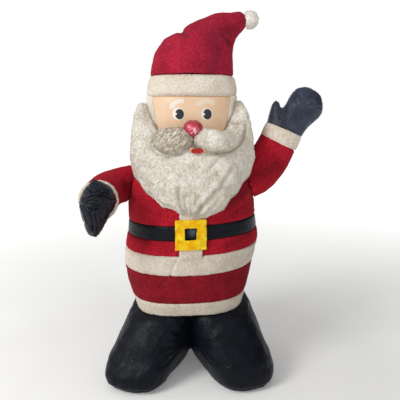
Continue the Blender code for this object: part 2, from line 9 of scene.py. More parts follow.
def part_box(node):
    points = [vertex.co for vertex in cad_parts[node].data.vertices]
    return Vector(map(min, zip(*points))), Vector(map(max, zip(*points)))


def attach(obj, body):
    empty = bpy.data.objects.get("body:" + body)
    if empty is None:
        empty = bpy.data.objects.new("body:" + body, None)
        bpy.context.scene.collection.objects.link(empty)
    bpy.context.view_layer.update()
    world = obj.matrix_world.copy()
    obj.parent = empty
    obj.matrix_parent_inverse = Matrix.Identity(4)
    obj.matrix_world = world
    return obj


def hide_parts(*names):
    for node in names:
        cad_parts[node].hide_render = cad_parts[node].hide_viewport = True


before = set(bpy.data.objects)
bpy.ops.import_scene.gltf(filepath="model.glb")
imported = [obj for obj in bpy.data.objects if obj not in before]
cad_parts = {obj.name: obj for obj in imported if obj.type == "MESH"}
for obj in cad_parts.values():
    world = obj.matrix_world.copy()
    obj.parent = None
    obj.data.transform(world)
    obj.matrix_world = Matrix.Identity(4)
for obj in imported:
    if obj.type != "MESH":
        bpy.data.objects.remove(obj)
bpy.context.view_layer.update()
beltLow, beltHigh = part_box("belt")
figure = {
    "x": (beltLow.x + beltHigh.x) / 2 - 0.010,   # the middle of the body, where its seams are level
    "y": (beltLow.y + beltHigh.y) / 2 + 0.010,
    "headX": 0.010,       # the head sits this far from there
    "slope": 0.040,       # the coat's stripes climb this much for each metre to the raised arm
}
origin = np.array([figure["x"], figure["y"], 0.0])
print("frame loaded, body middle at", round(figure["x"], 4), round(figure["y"], 4))


# Noise in real sizes: every swell or tuft is about as wide as the size that it is given

def scattered(cells, seed):
    # one fixed number from 0 to 1 for each whole-number cell
    x, y, z = (cells[..., i].astype(np.int64) for i in range(3))
    mixed = ((x * 73856093) ^ (y * 19349663) ^ (z * 83492791) ^ (seed * 26544357)) & 0xFFFFFFFF
    mixed = ((mixed ^ (mixed >> 15)) * 2246822519) & 0xFFFFFFFF
    mixed = ((mixed ^ (mixed >> 13)) * 3266489917) & 0xFFFFFFFF
    return ((mixed ^ (mixed >> 16)) & 0xFFFFFF) / 0xFFFFFF


def drift(points, size, seed):
    # smooth noise from -1 to 1
    scaled = points / size
    cell = np.floor(scaled)
    t = scaled - cell
    t = t * t * (3 - 2 * t)
    total = np.zeros(points.shape[:-1])
    for corner in np.ndindex(2, 2, 2):
        weight = np.prod(np.where(corner, t, 1 - t), axis=-1)
        total += weight * scattered(cell + corner, seed)
    return total * 2 - 1


def tufts(points, size, seed):
    # 1 in the middle of each tuft of pile, 0 in the partings between them
    scaled = points / size
    cell = np.floor(scaled)
    nearest = np.full(points.shape[:-1], 9.0)
    for step in np.ndindex(3, 3, 3):
        there = cell + step - 1
        middle = there + np.stack([scattered(there, seed + i) for i in range(3)], axis=-1)
        nearest = np.minimum(nearest, np.linalg.norm(middle - scaled, axis=-1))
    return 1 - np.clip(nearest / 0.95, 0, 1) ** 2


def bell(distance, width):
    return np.exp(-(distance / width) ** 2)


def ramp(value, low, high):
    # 0 up to low, 1 from high on, smooth in between
    t = np.clip((value - low) / (high - low), 0, 1)
    return t * t * (3 - 2 * t)


def creases(points, size, seed, sharpness=0.32):
    # 1 on thin wandering folds, 0 on the taut cloth between them
    sway = np.stack([drift(points, size * 1.6, seed + i) for i in (1, 2, 3)], axis=-1)
    return 1 - np.clip(np.abs(drift(points + sway * size * 0.4, size, seed)) / sharpness, 0, 1)


def gathers(points, fromSeam, along, step, reach, seed):
    # short folds square to a seam, which die out away from it
    length = reach * (1 + 0.5 * drift(points, step * 2.5, seed))
    wave = np.sin(math.tau * along / step + 2.2 * drift(points, step * 3, seed + 7))
    return wave * np.exp(-fromSeam / length)


def puckered(points, fromSeam, along, seam, seed):
    # how far out a sewn seam moves the cloth: gathers beside it, and a dip on it
    folds = gathers(points, fromSeam, along, seam["step"], seam["reach"], seed)
    return seam["gathers"] * folds - seam["dip"] * bell(fromSeam, seam["width"])


def fromLine(points, start, end):
    # distance to a line between two points, and how far along it, both in metres
    start, end = np.array(start, float), np.array(end, float)
    line = end - start
    length = np.linalg.norm(line)
    share = np.clip((points - start) @ line / length ** 2, 0, 1)
    return np.linalg.norm(points - start - share[:, None] * line, axis=1), share * length


def fromPath(points, path):
    # the same for a line through several points
    near, along, passed = np.full(len(points), 9.0), np.zeros(len(points)), 0.0
    for start, end in zip(path, path[1:]):
        distance, share = fromLine(points, start, end)
        along = np.where(distance < near, passed + share, along)
        near = np.minimum(near, distance)
        passed += math.dist(start, end)
    return near, along


# Meshes

def readVectors(rows, name):
    flat = np.empty(len(rows) * 3, np.float32)
    rows.foreach_get(name, flat)
    return flat.reshape(-1, 3).astype(float)


def readPoints(mesh):
    return readVectors(mesh.vertices, "co")


def readNormals(mesh):
    return readVectors(mesh.vertex_normals, "vector")


def readEdges(mesh):
    flat = np.empty(len(mesh.edges) * 2, np.int32)
    mesh.edges.foreach_get("vertices", flat)
    return flat.reshape(-1, 2)


def writePoints(mesh, points):
    mesh.vertices.foreach_set("co", points.astype(np.float32).ravel())
    mesh.update()


def meshOf(name, points, faces):
    mesh = bpy.data.meshes.new(name)
    mesh.from_pydata(points.reshape(-1, 3).tolist(), [], faces)
    mesh.update()
    return mesh


def gridMesh(name, points, allRound):
    # quads over rows of points; allRound joins each row's end to its start
    rows, sides = points.shape[:2]
    numbers = np.arange(rows * sides).reshape(rows, sides)
    if allRound:
        numbers = np.concatenate([numbers, numbers[:, :1]], axis=1)
    corners = (numbers[:-1, :-1], numbers[:-1, 1:], numbers[1:, 1:], numbers[1:, :-1])
    faces = np.stack([c.ravel() for c in corners], axis=1)
    return meshOf(name, points, faces.tolist())


def worn(points, edges, rounds):
    # each point goes halfway to the middle of its neighbours, so many times
    first, second = edges.T
    count = len(points)
    neighbours = np.bincount(first, minlength=count) + np.bincount(second, minlength=count)
    neighbours = np.maximum(neighbours, 1)
    for _ in range(rounds):
        for axis in range(points.shape[1]):
            column = points[:, axis]
            total = (np.bincount(first, column[second], count)
                     + np.bincount(second, column[first], count))
            points[:, axis] = (column + total / neighbours) / 2
    return points


def skin(node, grain, rounds, cornerRounds=None):
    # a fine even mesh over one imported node, with its facets worn away. cornerRounds, where it
    # is given, wears the true corners less
    source = bpy.data.objects.new("source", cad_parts[node].data.copy())
    bpy.context.scene.collection.objects.link(source)
    remesh = source.modifiers.new("grain", "REMESH")
    remesh.mode = "VOXEL"
    remesh.voxel_size = grain
    graph = bpy.context.evaluated_depsgraph_get()
    mesh = bpy.data.meshes.new_from_object(source.evaluated_get(graph))
    bpy.data.objects.remove(source)
    mesh.materials.clear()
    edges = readEdges(mesh)
    points = worn(readPoints(mesh), edges, rounds)
    if cornerRounds is not None:
        crisp = worn(readPoints(mesh), edges, cornerRounds)
        lost = np.linalg.norm(crisp - points, axis=1, keepdims=True)
        share = worn(np.clip(lost / 0.0015 - 1, 0, 1), edges, 8)
        points += (crisp - points) * share
    writePoints(mesh, points)
    return mesh


def pillow(outline, grain, middleY, frontDepth, backDepth):
    # an inflated bag: two cloths sewn together along an outline in x and z. Its thickness is
    # what even pressure gives a film that is held at the outline
    outline = np.array(outline)
    for _ in range(2):
        after = np.roll(outline, -1, axis=0)
        outline = np.stack([outline * 0.75 + after * 0.25, outline * 0.25 + after * 0.75],
                           axis=1).reshape(-1, 2)
    low, high = outline.min(axis=0) - 3 * grain, outline.max(axis=0) + 3 * grain
    x, z = np.meshgrid(np.arange(low[0], high[0], grain), np.arange(low[1], high[1], grain))
    inside = np.zeros(x.shape, bool)
    for (x0, z0), (x1, z1) in zip(outline, np.roll(outline, -1, axis=0)):
        if z0 != z1:
            inside ^= ((z0 > z) != (z1 > z)) & (x < (x1 - x0) * (z - z0) / (z1 - z0) + x0)
    film = np.zeros(x.shape)
    for _ in range(3000):
        around = film[:-2, 1:-1] + film[2:, 1:-1] + film[1:-1, :-2] + film[1:-1, 2:]
        film[1:-1, 1:-1] = np.where(inside[1:-1, 1:-1], (around + 1) / 4, 0)
    height = np.sqrt(film / film.max())
    # the points just outside move onto the outline itself
    flat = np.stack([x.ravel(), z.ravel()], axis=1)
    outer = ~inside.ravel()
    best, place = np.full(outer.sum(), 9.0), flat[outer].copy()
    for start, end in zip(outline, np.roll(outline, -1, axis=0)):
        line = end - start
        share = np.clip((flat[outer] - start) @ line / (line @ line + 1e-12), 0, 1)
        there = start + share[:, None] * line
        distance = np.linalg.norm(flat[outer] - there, axis=1)
        place[distance < best] = there[distance < best]
        best = np.minimum(best, distance)
    flat[outer] = place
    count, width = len(flat), x.shape[1]
    front = np.stack([flat[:, 0], middleY - frontDepth * height.ravel(), flat[:, 1]], axis=1)
    back = np.stack([flat[:, 0], middleY + backDepth * height.ravel(), flat[:, 1]], axis=1)
    cells = np.argwhere(inside[:-1, :-1] | inside[1:, :-1] | inside[:-1, 1:] | inside[1:, 1:])
    first = cells[:, 0] * width + cells[:, 1]
    quads = np.stack([first, first + 1, first + width + 1, first + width], axis=1)
    other = np.where(outer, np.arange(count), np.arange(count) + count)
    faces = np.concatenate([quads, other[quads][:, ::-1]])
    used, faces = np.unique(faces, return_inverse=True)
    points = np.concatenate([front, back])[used] + origin
    return meshOf("pillow", points, faces.reshape(-1, 4).tolist())


def dress(name, mesh, material, slotName, *nodes):
    # the mesh becomes a piece that stands for these nodes
    piece = bpy.data.objects.new(name, mesh)
    bpy.context.scene.collection.objects.link(piece)
    mesh.materials.clear()
    mesh.materials.append(material)
    mesh.shade_smooth()
    if nodes:
        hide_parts(*nodes)
    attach(piece, "root")
    print("made", name, len(mesh.polygons), "faces")
    return piece


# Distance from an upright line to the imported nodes, at every level and all the way round

def blurred(field, sides, rows):
    # a soft blur: sides round the rows, where it wraps, and rows up and down
    across = np.exp(-2 * (np.pi * np.fft.fftfreq(field.shape[1]) * sides) ** 2)
    field = np.fft.ifft(np.fft.fft(field, axis=1) * across, axis=1).real
    spare = 24
    tall = np.pad(field, ((spare, spare), (0, 0)), mode="reflect", reflect_type="odd")
    along = np.exp(-2 * (np.pi * np.fft.fftfreq(tall.shape[0]) * rows) ** 2)
    tall = np.fft.ifft(np.fft.fft(tall, axis=0) * along[:, None], axis=0).real
    return tall[spare:-spare]


def reachField(nodes, middleX, slope, levels, sides, softness):
    points, faces = [], []
    for node in nodes:
        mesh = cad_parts[node].data
        start = len(points)
        points += [vert.co for vert in mesh.vertices]
        faces += [[start + i for i in face.vertices] for face in mesh.polygons]
    tree = BVHTree.FromPolygons(points, faces)
    far = 1.0
    field = np.zeros((len(levels), sides))
    for row, level in enumerate(levels):
        for k in range(sides):
            angle = math.tau * k / sides
            outward = Vector((math.cos(angle), math.sin(angle), slope * math.cos(angle)))
            start = Vector((figure["x"] + middleX, figure["y"], level + slope * middleX))
            hit = tree.ray_cast(start + outward * far, -outward)[0]
            field[row, k] = math.hypot(hit.x - start.x, hit.y - start.y) if hit else 0
    # where a level passes above or below the nodes, it takes the nearest level's reach
    for row in range(len(levels) - 2, -1, -1):
        field[row] = np.where(field[row] > 0.08, field[row], field[row + 1])
    for row in range(1, len(levels)):
        field[row] = np.where(field[row] > 0.08, field[row], field[row - 1])
    return blurred(field, *softness)


def onField(field, levels, level, angle):
    # the reach at these levels and angles, in between the field's own
    sides = field.shape[1]
    row = np.interp(level, levels, np.arange(len(levels)))
    column = (angle / math.tau * sides) % sides
    r0 = np.clip(np.floor(row).astype(int), 0, len(levels) - 2)
    c0 = np.floor(column).astype(int) % sides
    c1 = (c0 + 1) % sides
    tr, tc = row - r0, column - np.floor(column)
    low = field[r0, c0] * (1 - tc) + field[r0, c1] * tc
    high = field[r0 + 1, c0] * (1 - tc) + field[r0 + 1, c1] * tc
    return low * (1 - tr) + high * tr


def fieldPoints(reach, level, angle, middleX, slope):
    x = middleX + reach * np.cos(angle)
    return np.stack([x, reach * np.sin(angle), level + slope * x], axis=-1) + origin


# Pile

def growPile(mesh, pile, seed, comb=(0, 0, -1), share=1.0):
    # raises tufts that lie over a little, the way the pile was combed
    points, normals = readPoints(mesh), readNormals(mesh)
    local = points - origin
    height = (0.60 * tufts(local, pile["tuft"], seed)
              + 0.28 * drift(local, pile["tuft"] * 2.8, seed + 5)
              + 0.22 * drift(local, pile["tuft"] * 0.45, seed + 9))
    comb = np.broadcast_to(np.array(comb, float), points.shape)
    comb = comb - normals * (comb * normals).sum(axis=1, keepdims=True)
    lift = ((height - 0.3) * pile["height"] * share)[:, None]
    writePoints(mesh, points + normals * lift + comb * lift * pile["lean"])


def growLocks(mesh, lock, seed, comb, shown):
    # short bent locks of pile, three-sided and pointed, rooted all over the shown side
    points, normals = readPoints(mesh), readNormals(mesh)
    corners = np.empty(len(mesh.loops), np.int32)
    mesh.loops.foreach_get("vertex_index", corners)
    quads = corners.reshape(-1, 4)
    chance = np.random.default_rng(seed)
    rooted = quads[shown(points, normals)[quads].all(axis=1)]
    picked = rooted[chance.integers(0, len(rooted), lock["count"])]
    share = chance.dirichlet((1, 1, 1, 1), lock["count"])[:, :, None]
    root = (points[picked] * share).sum(axis=1)
    out = (normals[picked] * share).sum(axis=1)
    out /= np.linalg.norm(out, axis=1, keepdims=True)
    along = comb(root) + chance.normal(0, lock["unruly"], root.shape)
    along -= out * (along * out).sum(axis=1, keepdims=True)
    along /= np.linalg.norm(along, axis=1, keepdims=True)
    side = np.cross(out, along)
    long = lock["length"] * chance.uniform(0.6, 1.25, (len(root), 1))
    wide = lock["width"] * chance.uniform(0.7, 1.2, (len(root), 1))
    made = []
    for reached, girth in ((0.0, 1.0), (0.4, 0.85), (0.75, 0.5)):
        rise = lock["lift"] * long * (reached - 0.8 * reached ** 2) - 0.25 * wide
        middle = root + along * long * reached + out * rise
        for turn in (0.52, 0.52 + math.tau / 3, 0.52 + 2 * math.tau / 3):
            rim = side * math.cos(turn) + out * math.sin(turn) * 0.6
            made.append(middle + rim * wide * girth / 2)
    made.append(root + along * long + out * lock["lift"] * long * 0.2)
    lockPoints = np.stack(made, axis=1)
    pattern = [(a + row, b + row, b + row + 3, a + row + 3)
               for row in (0, 3) for a, b in ((0, 1), (1, 2), (2, 0))]
    tips = [(a, b, 9) for a, b in ((6, 7), (7, 8), (8, 6))]
    first = len(points) + np.arange(len(root))[:, None] * 10
    faces = quads.tolist()
    for face in pattern + tips:
        faces += (first + np.array(face)).tolist()
    return meshOf(mesh.name + "Locks", np.concatenate([points, lockPoints.reshape(-1, 3)]), faces)


def paintShadowMarks(mesh, marks):
    # each mark is a path in x and z, how wide it is and how strong: painted shade, darker pile
    # where shadow falls in partings, creases and under overhanging parts. The material reads this
    # mask
    local = readPoints(mesh) - origin
    shade = np.zeros(len(local))
    for path, width, strength in marks:
        shade = np.maximum(shade, strength * bell(fromPath(local[:, (0, 2)], path)[0], width))
    shade *= ramp(-local[:, 1], -0.10, -0.04)      # the back gets no painted shade
    paintedShadow = mesh.attributes.new("paintedShadow", "FLOAT", "POINT")
    paintedShadow.data.foreach_set("value", shade.astype(np.float32))


# Materials. Every colour is an sRGB hex value, every pattern size is in millimetres

def linear(code, alpha=1.0):
    values = [int(code[i:i + 2], 16) / 255 for i in (1, 3, 5)]
    return (*(v / 12.92 if v <= 0.04045 else ((v + 0.055) / 1.055) ** 2.4 for v in values), alpha)


def addNode(tree, kind, inputs, stops=(), **settings):
    # one node: its settings, its inputs as plain values or as sockets to link, and a colour
    # ramp's stops as places and hex values
    node = tree.nodes.new("ShaderNode" + kind)
    for name, value in settings.items():
        setattr(node, name, value)
    for name, value in inputs.items():
        if isinstance(value, bpy.types.NodeSocket):
            tree.links.new(value, node.inputs[name])
        else:
            node.inputs[name].default_value = value
    while stops and len(node.color_ramp.elements) < len(stops):
        node.color_ramp.elements.new(0.5)
    for i, (position, code) in enumerate(stops):
        node.color_ramp.elements[i].position = position
        node.color_ramp.elements[i].color = linear(code)
    return node


def startMaterial(name, roughness, sheen, sheenRoughness, sheenTint,
                  specular=0.5, coat=0.0, through=0.0):
    # the painted glow: the cloth gives out light of its own, as if daylight came through thin pale
    # cloth over air
    material = bpy.data.materials.new(name)
    material.use_nodes = True
    tree = material.node_tree
    shader = tree.nodes["Principled BSDF"]
    for socket, value in (("Roughness", roughness), ("Specular IOR Level", specular),
                          ("Sheen Weight", sheen), ("Sheen Roughness", sheenRoughness),
                          ("Sheen Tint", linear(sheenTint)), ("Coat Weight", coat),
                          ("Emission Strength", through)):
        shader.inputs[socket].default_value = value
    return material, tree, shader, addNode(tree, "TexCoord", {}).outputs["Object"]


def paint(tree, shader, colour):
    # the painted glow has the cloth's own colour
    tree.links.new(colour, shader.inputs["Base Color"])
    if shader.inputs["Emission Strength"].default_value > 0:
        tree.links.new(colour, shader.inputs["Emission Color"])


def reopen(material):
    tree = material.node_tree
    return tree, addNode(tree, "TexCoord", {}).outputs["Object"]


def printOn(material, marks):
    # lays each mark's colour over the cloth's own, where the mark is 1
    tree = material.node_tree
    shader = tree.nodes["Principled BSDF"]
    colour = shader.inputs["Base Color"].links[0].from_socket
    for mark, code in marks:
        colour = addNode(tree, "Mix", {0: mark, 6: colour, 7: linear(code)},
                         data_type="RGBA").outputs[2]
    paint(tree, shader, colour)


falling = {"To Min": 1.0, "To Max": 0.0}      # a mark is 1 at its low end and 0 at its high end


def ring(tree, place, x, z, halfWidth, halfHeight):
    # how far out a point is from x, z, where 1 is on the ellipse
    scaled = addNode(tree, "Mapping", {"Vector": place, "Location": (figure["x"] + x, 0, z),
                                       "Scale": (halfWidth, 1000, halfHeight)},
                     vector_type="TEXTURE")
    return addNode(tree, "VectorMath", {0: scaled.outputs[0]}, operation="LENGTH").outputs["Value"]


def disc(tree, place, ellipse, inner, outer):
    # 1 up to the inner share of the ellipse's size and 0 from the outer one on
    return addNode(tree, "MapRange", {"Value": ring(tree, place, *ellipse), "From Min": inner,
                                      "From Max": outer, **falling}).outputs["Result"]


def fleece(name, look):
    # pile: no gloss, a soft light rim, light on the tips of its clumps and dark between them
    material, tree, shader, place = startMaterial(name, 0.95, look["sheen"], 0.45, look["rim"],
                                                  specular=0.15, through=look.get("through", 0.0))
    combed = place
    if "streaks" in look:
        turn, stretch = look["streaks"]
        combed = addNode(tree, "Mapping", {"Vector": place, "Rotation": (0, turn, 0),
                                           "Scale": (1, 1, stretch)},
                         vector_type="TEXTURE").outputs[0]
    noise = {}
    for part, where, detail in (("mottle", combed, 3), ("wide", place, 2), ("fibre", place, 2)):
        noise[part] = addNode(tree, "TexNoise", {"Vector": where, "Scale": 1000 / look[part],
                                                 "Detail": detail}).outputs["Fac"]
    clumps = addNode(tree, "ValToRGB", {"Fac": noise["mottle"]},
                     ((0.32, look["deep"]), (0.5, look["mid"]), (0.68, look["tip"])))
    shadow = addNode(tree, "ValToRGB", {"Fac": noise["wide"]},
                     ((0.35, look["shadeLow"]), (0.65, "#ffffff")))
    colour = addNode(tree, "Mix", {0: 1.0, 6: clumps.outputs[0], 7: shadow.outputs[0]},
                     data_type="RGBA", blend_type="MULTIPLY").outputs[2]
    # painted shade: the colour goes towards the painted shade colour where the mesh's mask says so
    if "paintedShadow" in look:
        depth = addNode(tree, "Attribute", {}, attribute_name="paintedShadow").outputs["Fac"]
        colour = addNode(tree, "Mix", {0: depth, 6: colour, 7: linear(look["paintedShadow"])},
                         data_type="RGBA").outputs[2]
    paint(tree, shader, colour)
    bump = addNode(tree, "Bump", {"Height": noise["fibre"], "Strength": look["bump"],
                                  "Distance": look["fibre"] / 1000})
    tree.links.new(bump.outputs["Normal"], shader.inputs["Normal"])
    return material


def taffeta(name, look):
    # woven and coated: smooth, with soft broad highlights that break on its crinkles
    material, tree, shader, place = startMaterial(
        name, look["roughness"], look["sheen"], 0.35, look["rim"], look["specular"], look["coat"],
        look.get("through", 0.0))
    shader.inputs["Coat Roughness"].default_value = 0.35
    noise = {}
    # the real weave is about 0.3 mm, and is drawn at 3 mm so that it shows at all
    for part, size, detail, bend in (("wide", look["wide"], 3, 0.0), ("weave", 3, 1, 0.0),
                                     ("crease", look["crease"], 3, 0.6)):
        sockets = {"Vector": place, "Scale": 1000 / size, "Detail": detail, "Distortion": bend}
        noise[part] = addNode(tree, "TexNoise", sockets).outputs["Fac"]
    paint(tree, shader, addNode(tree, "ValToRGB", {"Fac": noise["wide"]},
                                ((0.35, look["deep"]), (0.65, look["tip"]))).outputs["Color"])
    fine = addNode(tree, "Bump", {"Height": noise["weave"], "Strength": 0.05, "Distance": 0.002})
    bump = addNode(tree, "Bump", {"Height": noise["crease"], "Strength": look["bump"],
                                  "Distance": 0.004, "Normal": fine.outputs["Normal"]})
    tree.links.new(bump.outputs["Normal"], shader.inputs["Normal"])
    return material


# Sizes of patterns: "mottle" is the clumps of pile, "wide" the faded patches, "crease" the nylon's
# crinkles. "fibre" would be well under 0.1 mm, and is drawn at 3 to 4 mm so that it shows

# dyed polyester fleece, knitted and brushed: a matt deep red, cloudy where the pile lies both ways,
# with a near-black red for painted shade
redLook = {
    "deep": "#971224", "mid": "#ab1628", "tip": "#bb2234", "shadeLow": "#e0d6d6", "rim": "#d85060",
    "paintedShadow": "#43080f", "sheen": 0.05, "mottle": 9, "wide": 90, "fibre": 4, "bump": 0.5}
# the hat's is tinted cooler and pinker: painted light, the tint of the sky's light from above. The
# skirt's is the darkest
skyTintedHatLook = {**redLook, "deep": "#92182f", "mid": "#a11c34", "tip": "#ae2a42", "paintedShadow": "#4c1329"}
skirtLook = {**redLook, "deep": "#7a101c", "mid": "#881522", "tip": "#961e2d"}
# undyed polyester fleece, knitted and brushed: warm white, a little grubby, with a faint painted
# glow
creamLook = {
    "deep": "#c6bbad", "mid": "#d2c8bb", "tip": "#dfd7cc", "shadeLow": "#f1ece4", "rim": "#fff6ea",
    "sheen": 0.12, "mottle": 8, "wide": 80, "fibre": 4, "bump": 0.5, "through": 0.015}
# long-pile polyester plush, knitted and tumbled: soft white that catches light on its locks, with a
# painted glow and a grey tan for painted shade
plushLook = {
    "deep": "#cbc4b8", "mid": "#dad4c9", "tip": "#ebe7df", "shadeLow": "#ece8e1", "rim": "#fff8ee",
    "paintedShadow": "#8d8069", "sheen": 0.25, "mottle": 6, "wide": 70, "fibre": 4, "bump": 0.7,
    "through": 0.05}
# the same plush, lighter on the curled lobe: painted light, as if more light fell on it
litCurledLook = {**plushLook, "deep": "#dad3c7", "mid": "#e9e3d9", "tip": "#f9f6f0"}
# the same plush, shaggy: light and dark streaks. Their lean from upright, and how many times
# longer than wide they are
shaggyLook = {
    **plushLook, "deep": "#a29478", "mid": "#d6cdbc", "tip": "#f7f2e8", "mottle": 10,
    "streaks": (0.62, 3.0), "bump": 0.8}
# loose plush: almost white, with a bright rim and a strong painted glow
pompomLook = {
    **plushLook, "deep": "#efe9e1", "mid": "#f6f2ec", "tip": "#fdfbf8", "sheen": 0.5,
    "through": 0.16}
# nylon taffeta, woven and coated: blue-black, with dim highlights that break on fine crinkles
blackLook = {
    "deep": "#0a0d14", "tip": "#11151e", "rim": "#7f8cb4", "sheen": 0.06, "wide": 60,
    "roughness": 0.42, "specular": 0.13, "coat": 0.0, "crease": 20, "bump": 0.75}
# the same taffeta, paler on the raised hand as painted light, as if more light fell on it, and
# shinier on the low one
litMittenLook = {**blackLook, "deep": "#202634", "tip": "#303749", "sheen": 0.25, "specular": 0.28}
shinyLook = {
    **blackLook, "deep": "#0b0e16", "tip": "#161b28", "sheen": 0.02, "specular": 0.20,
    "roughness": 0.27}
redFleece = fleece("redFleece", redLook)
creamFleece = fleece("creamFleece", creamLook)
hatFleece = fleece("hatFleece", skyTintedHatLook)
skirtFleece = fleece("skirtFleece", skirtLook)
whitePlush = fleece("whitePlush", plushLook)
litCurledPlush = fleece("litCurledPlush", litCurledLook)
shaggyPlush = fleece("shaggyPlush", shaggyLook)
pompomPlush = fleece("pompomPlush", pompomLook)
blackTaffeta = taffeta("blackTaffeta", blackLook)
mittenTaffeta = taffeta("mittenTaffeta", litMittenLook)
shinyTaffeta = taffeta("shinyTaffeta", shinyLook)
print("cloths ready")


# Coat: six panels and the belt between them, with one smooth outline under all

coat = {
    "rowHeight": 0.0046, "sides": 420, "levels": 170,
    "softness": (7.0, 5.0),                      # how far its outline is blurred, round and up
    "pile": {"tuft": 0.014, "height": 0.0034, "lean": 0.5},
    # the cloth dips this deep at each seam, the belt's a little deeper, and then turns in
    "seamDepth": 0.0045, "beltDepth": 0.0060, "seamWidth": 0.012, "lip": 0.016,
    "halfWidth": 0.32,
    # the side seams' puckers: how deep, how far from the seam, and from one to the next
    "pucker": {"depth": 0.0036, "width": 0.030, "step": 0.021, "sway": 90},
    # folds on its front: the x and z that each goes through, how deep and how wide
    "folds": ((((-0.048, 0.660), (-0.070, 0.610), (-0.088, 0.560)), 0.0045, 0.0060),
              (((0.060, 0.660), (0.066, 0.620)), 0.0030, 0.0060),
              (((-0.270, 0.905), (-0.190, 0.870), (-0.120, 0.820)), 0.0050, 0.0140),
              (((0.300, 0.900), (0.230, 0.860), (0.150, 0.820)), 0.0050, 0.0140),
              (((0.330, 0.640), (0.240, 0.610), (0.170, 0.600)), 0.0040, 0.0120),
              (((-0.330, 0.520), (-0.240, 0.480), (-0.150, 0.470)), 0.0040, 0.0140)),
    # painted shade: darker beside the beard and arms and where the waist is drawn in
    "shaded": {"coat_chest": ((((0.190, 0.890), (0.250, 0.930), (0.330, 1.000)), 0.045, 0.60),
                              (((0.200, 0.850), (0.330, 0.860)), 0.030, 0.30),
                              (((-0.300, 0.850), (-0.318, 0.960)), 0.026, 0.40)),
               "coat_waist": ((((-0.340, 0.735), (-0.200, 0.712)), 0.020, 0.45),
                              (((0.340, 0.748), (0.180, 0.700)), 0.022, 0.35))},
}


def levelRange(node):
    points = readPoints(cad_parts[node].data) - origin
    level = points[:, 2] - figure["slope"] * points[:, 0]
    return level.min(), level.max()


coatNodes = ["coat_hem", "coat_skirt", "coat_band", "coat_waist", "belt", "coat_chest"]
coatRanges = {node: levelRange(node) for node in coatNodes}
coatLow = min(low for low, high in coatRanges.values())
coatHigh = max(high for low, high in coatRanges.values())
coatLevels = np.linspace(coatLow + 0.0004, coatHigh - 0.0004, coat["levels"])
coatField = reachField(coatNodes, 0.0, figure["slope"], coatLevels, coat["sides"],
                       coat["softness"])
print("coat outline measured")


def coatPanel(node, depth):
    # rows from one seam to the other, dipping at both and turned in
    low, high = coatRanges[node]
    rows = max(8, round((high - low) / coat["rowHeight"]))
    level = np.linspace(low, high, rows + 1)[:, None]
    angle = np.arange(coat["sides"])[None, :] / coat["sides"] * math.tau
    reach = onField(coatField, coatLevels, level + 0 * angle, angle + 0 * level)
    toSeam = np.minimum(level - low, high - level)
    reach = reach - depth * np.clip(1 - toSeam / coat["seamWidth"], 0, 1) ** 2
    toSide = np.minimum(abs(np.sin(angle / 2)), abs(np.cos(angle / 2))) * 2 * coat["halfWidth"]
    pucker = coat["pucker"]
    wave = np.sin(level / pucker["step"] * math.tau + 2 * np.sin(level * pucker["sway"]))
    reach = reach + pucker["depth"] * bell(toSide, pucker["width"]) * (wave - 0.7)
    lip = coat["lip"] * np.array([[0.45], [1.0]])
    reach = np.concatenate([reach[:1] - lip[::-1], reach, reach[-1:] - lip])
    level = np.concatenate([np.full((2, 1), low), level, np.full((2, 1), high)])
    points = fieldPoints(reach, level + 0 * angle, angle + 0 * level, 0.0, figure["slope"])
    return gridMesh(node, points, True)


fleecePanels = {
    "coat_chest": ("chestFleece", redFleece, "red_fleece", 11),
    "coat_waist": ("waistFleece", redFleece, "red_fleece", 23),
    "coat_skirt": ("skirtFleece", skirtFleece, "red_fleece", 37),
    "coat_band": ("bandFleece", creamFleece, "cream_fleece", 41),
    "coat_hem": ("hemFleece", creamFleece, "cream_fleece", 59),
}
for node, (name, material, slotName, seed) in fleecePanels.items():
    panel = coatPanel(node, coat["seamDepth"])
    growPile(panel, coat["pile"], seed)
    points, normals = readPoints(panel), readNormals(panel)
    for path, depth, width in coat["folds"]:
        near = fromPath((points - origin)[:, (0, 2)], path)[0]
        points -= normals * (depth * bell(near, width) * (normals[:, 1] < 0))[:, None]
    writePoints(panel, points)
    if node in coat["shaded"]:
        paintShadowMarks(panel, coat["shaded"][node])
    dress(name, panel, material, slotName, node)


# Belt: a painted highlight where it shows through the buckle's window, standing in for the sky's
# reflection

belt = {
    "bulge": (0.017, 0.772, 0.024, 0.026),       # x, z and half sizes
    "highlightColour": "#4c565f", "litFrom": 0.1, "litTo": 1.2,
    "frontEnds": (-0.10, -0.05),                 # y, so that the back stays dark
}
beltTaffeta = taffeta("beltTaffeta", blackLook)
tree, place = reopen(beltTaffeta)
beltY = addNode(tree, "SeparateXYZ", {"Vector": place}).outputs["Y"]
inFront = addNode(tree, "MapRange", {"Value": beltY, "From Min": figure["y"] + belt["frontEnds"][0],
                                     "From Max": figure["y"] + belt["frontEnds"][1], **falling})
# painted highlight: lighter in the buckle's window, on the front only
bulge = disc(tree, place, belt["bulge"], belt["litFrom"], belt["litTo"])
bulge = addNode(tree, "Math", {0: bulge, 1: inFront.outputs["Result"]}, operation="MULTIPLY")
printOn(beltTaffeta, [(bulge.outputs[0], belt["highlightColour"])])
dress("beltTaffeta", coatPanel("belt", coat["beltDepth"]), beltTaffeta, "black_nylon", "belt")


# Head: flesh taffeta in front, plush hair at the sides and back

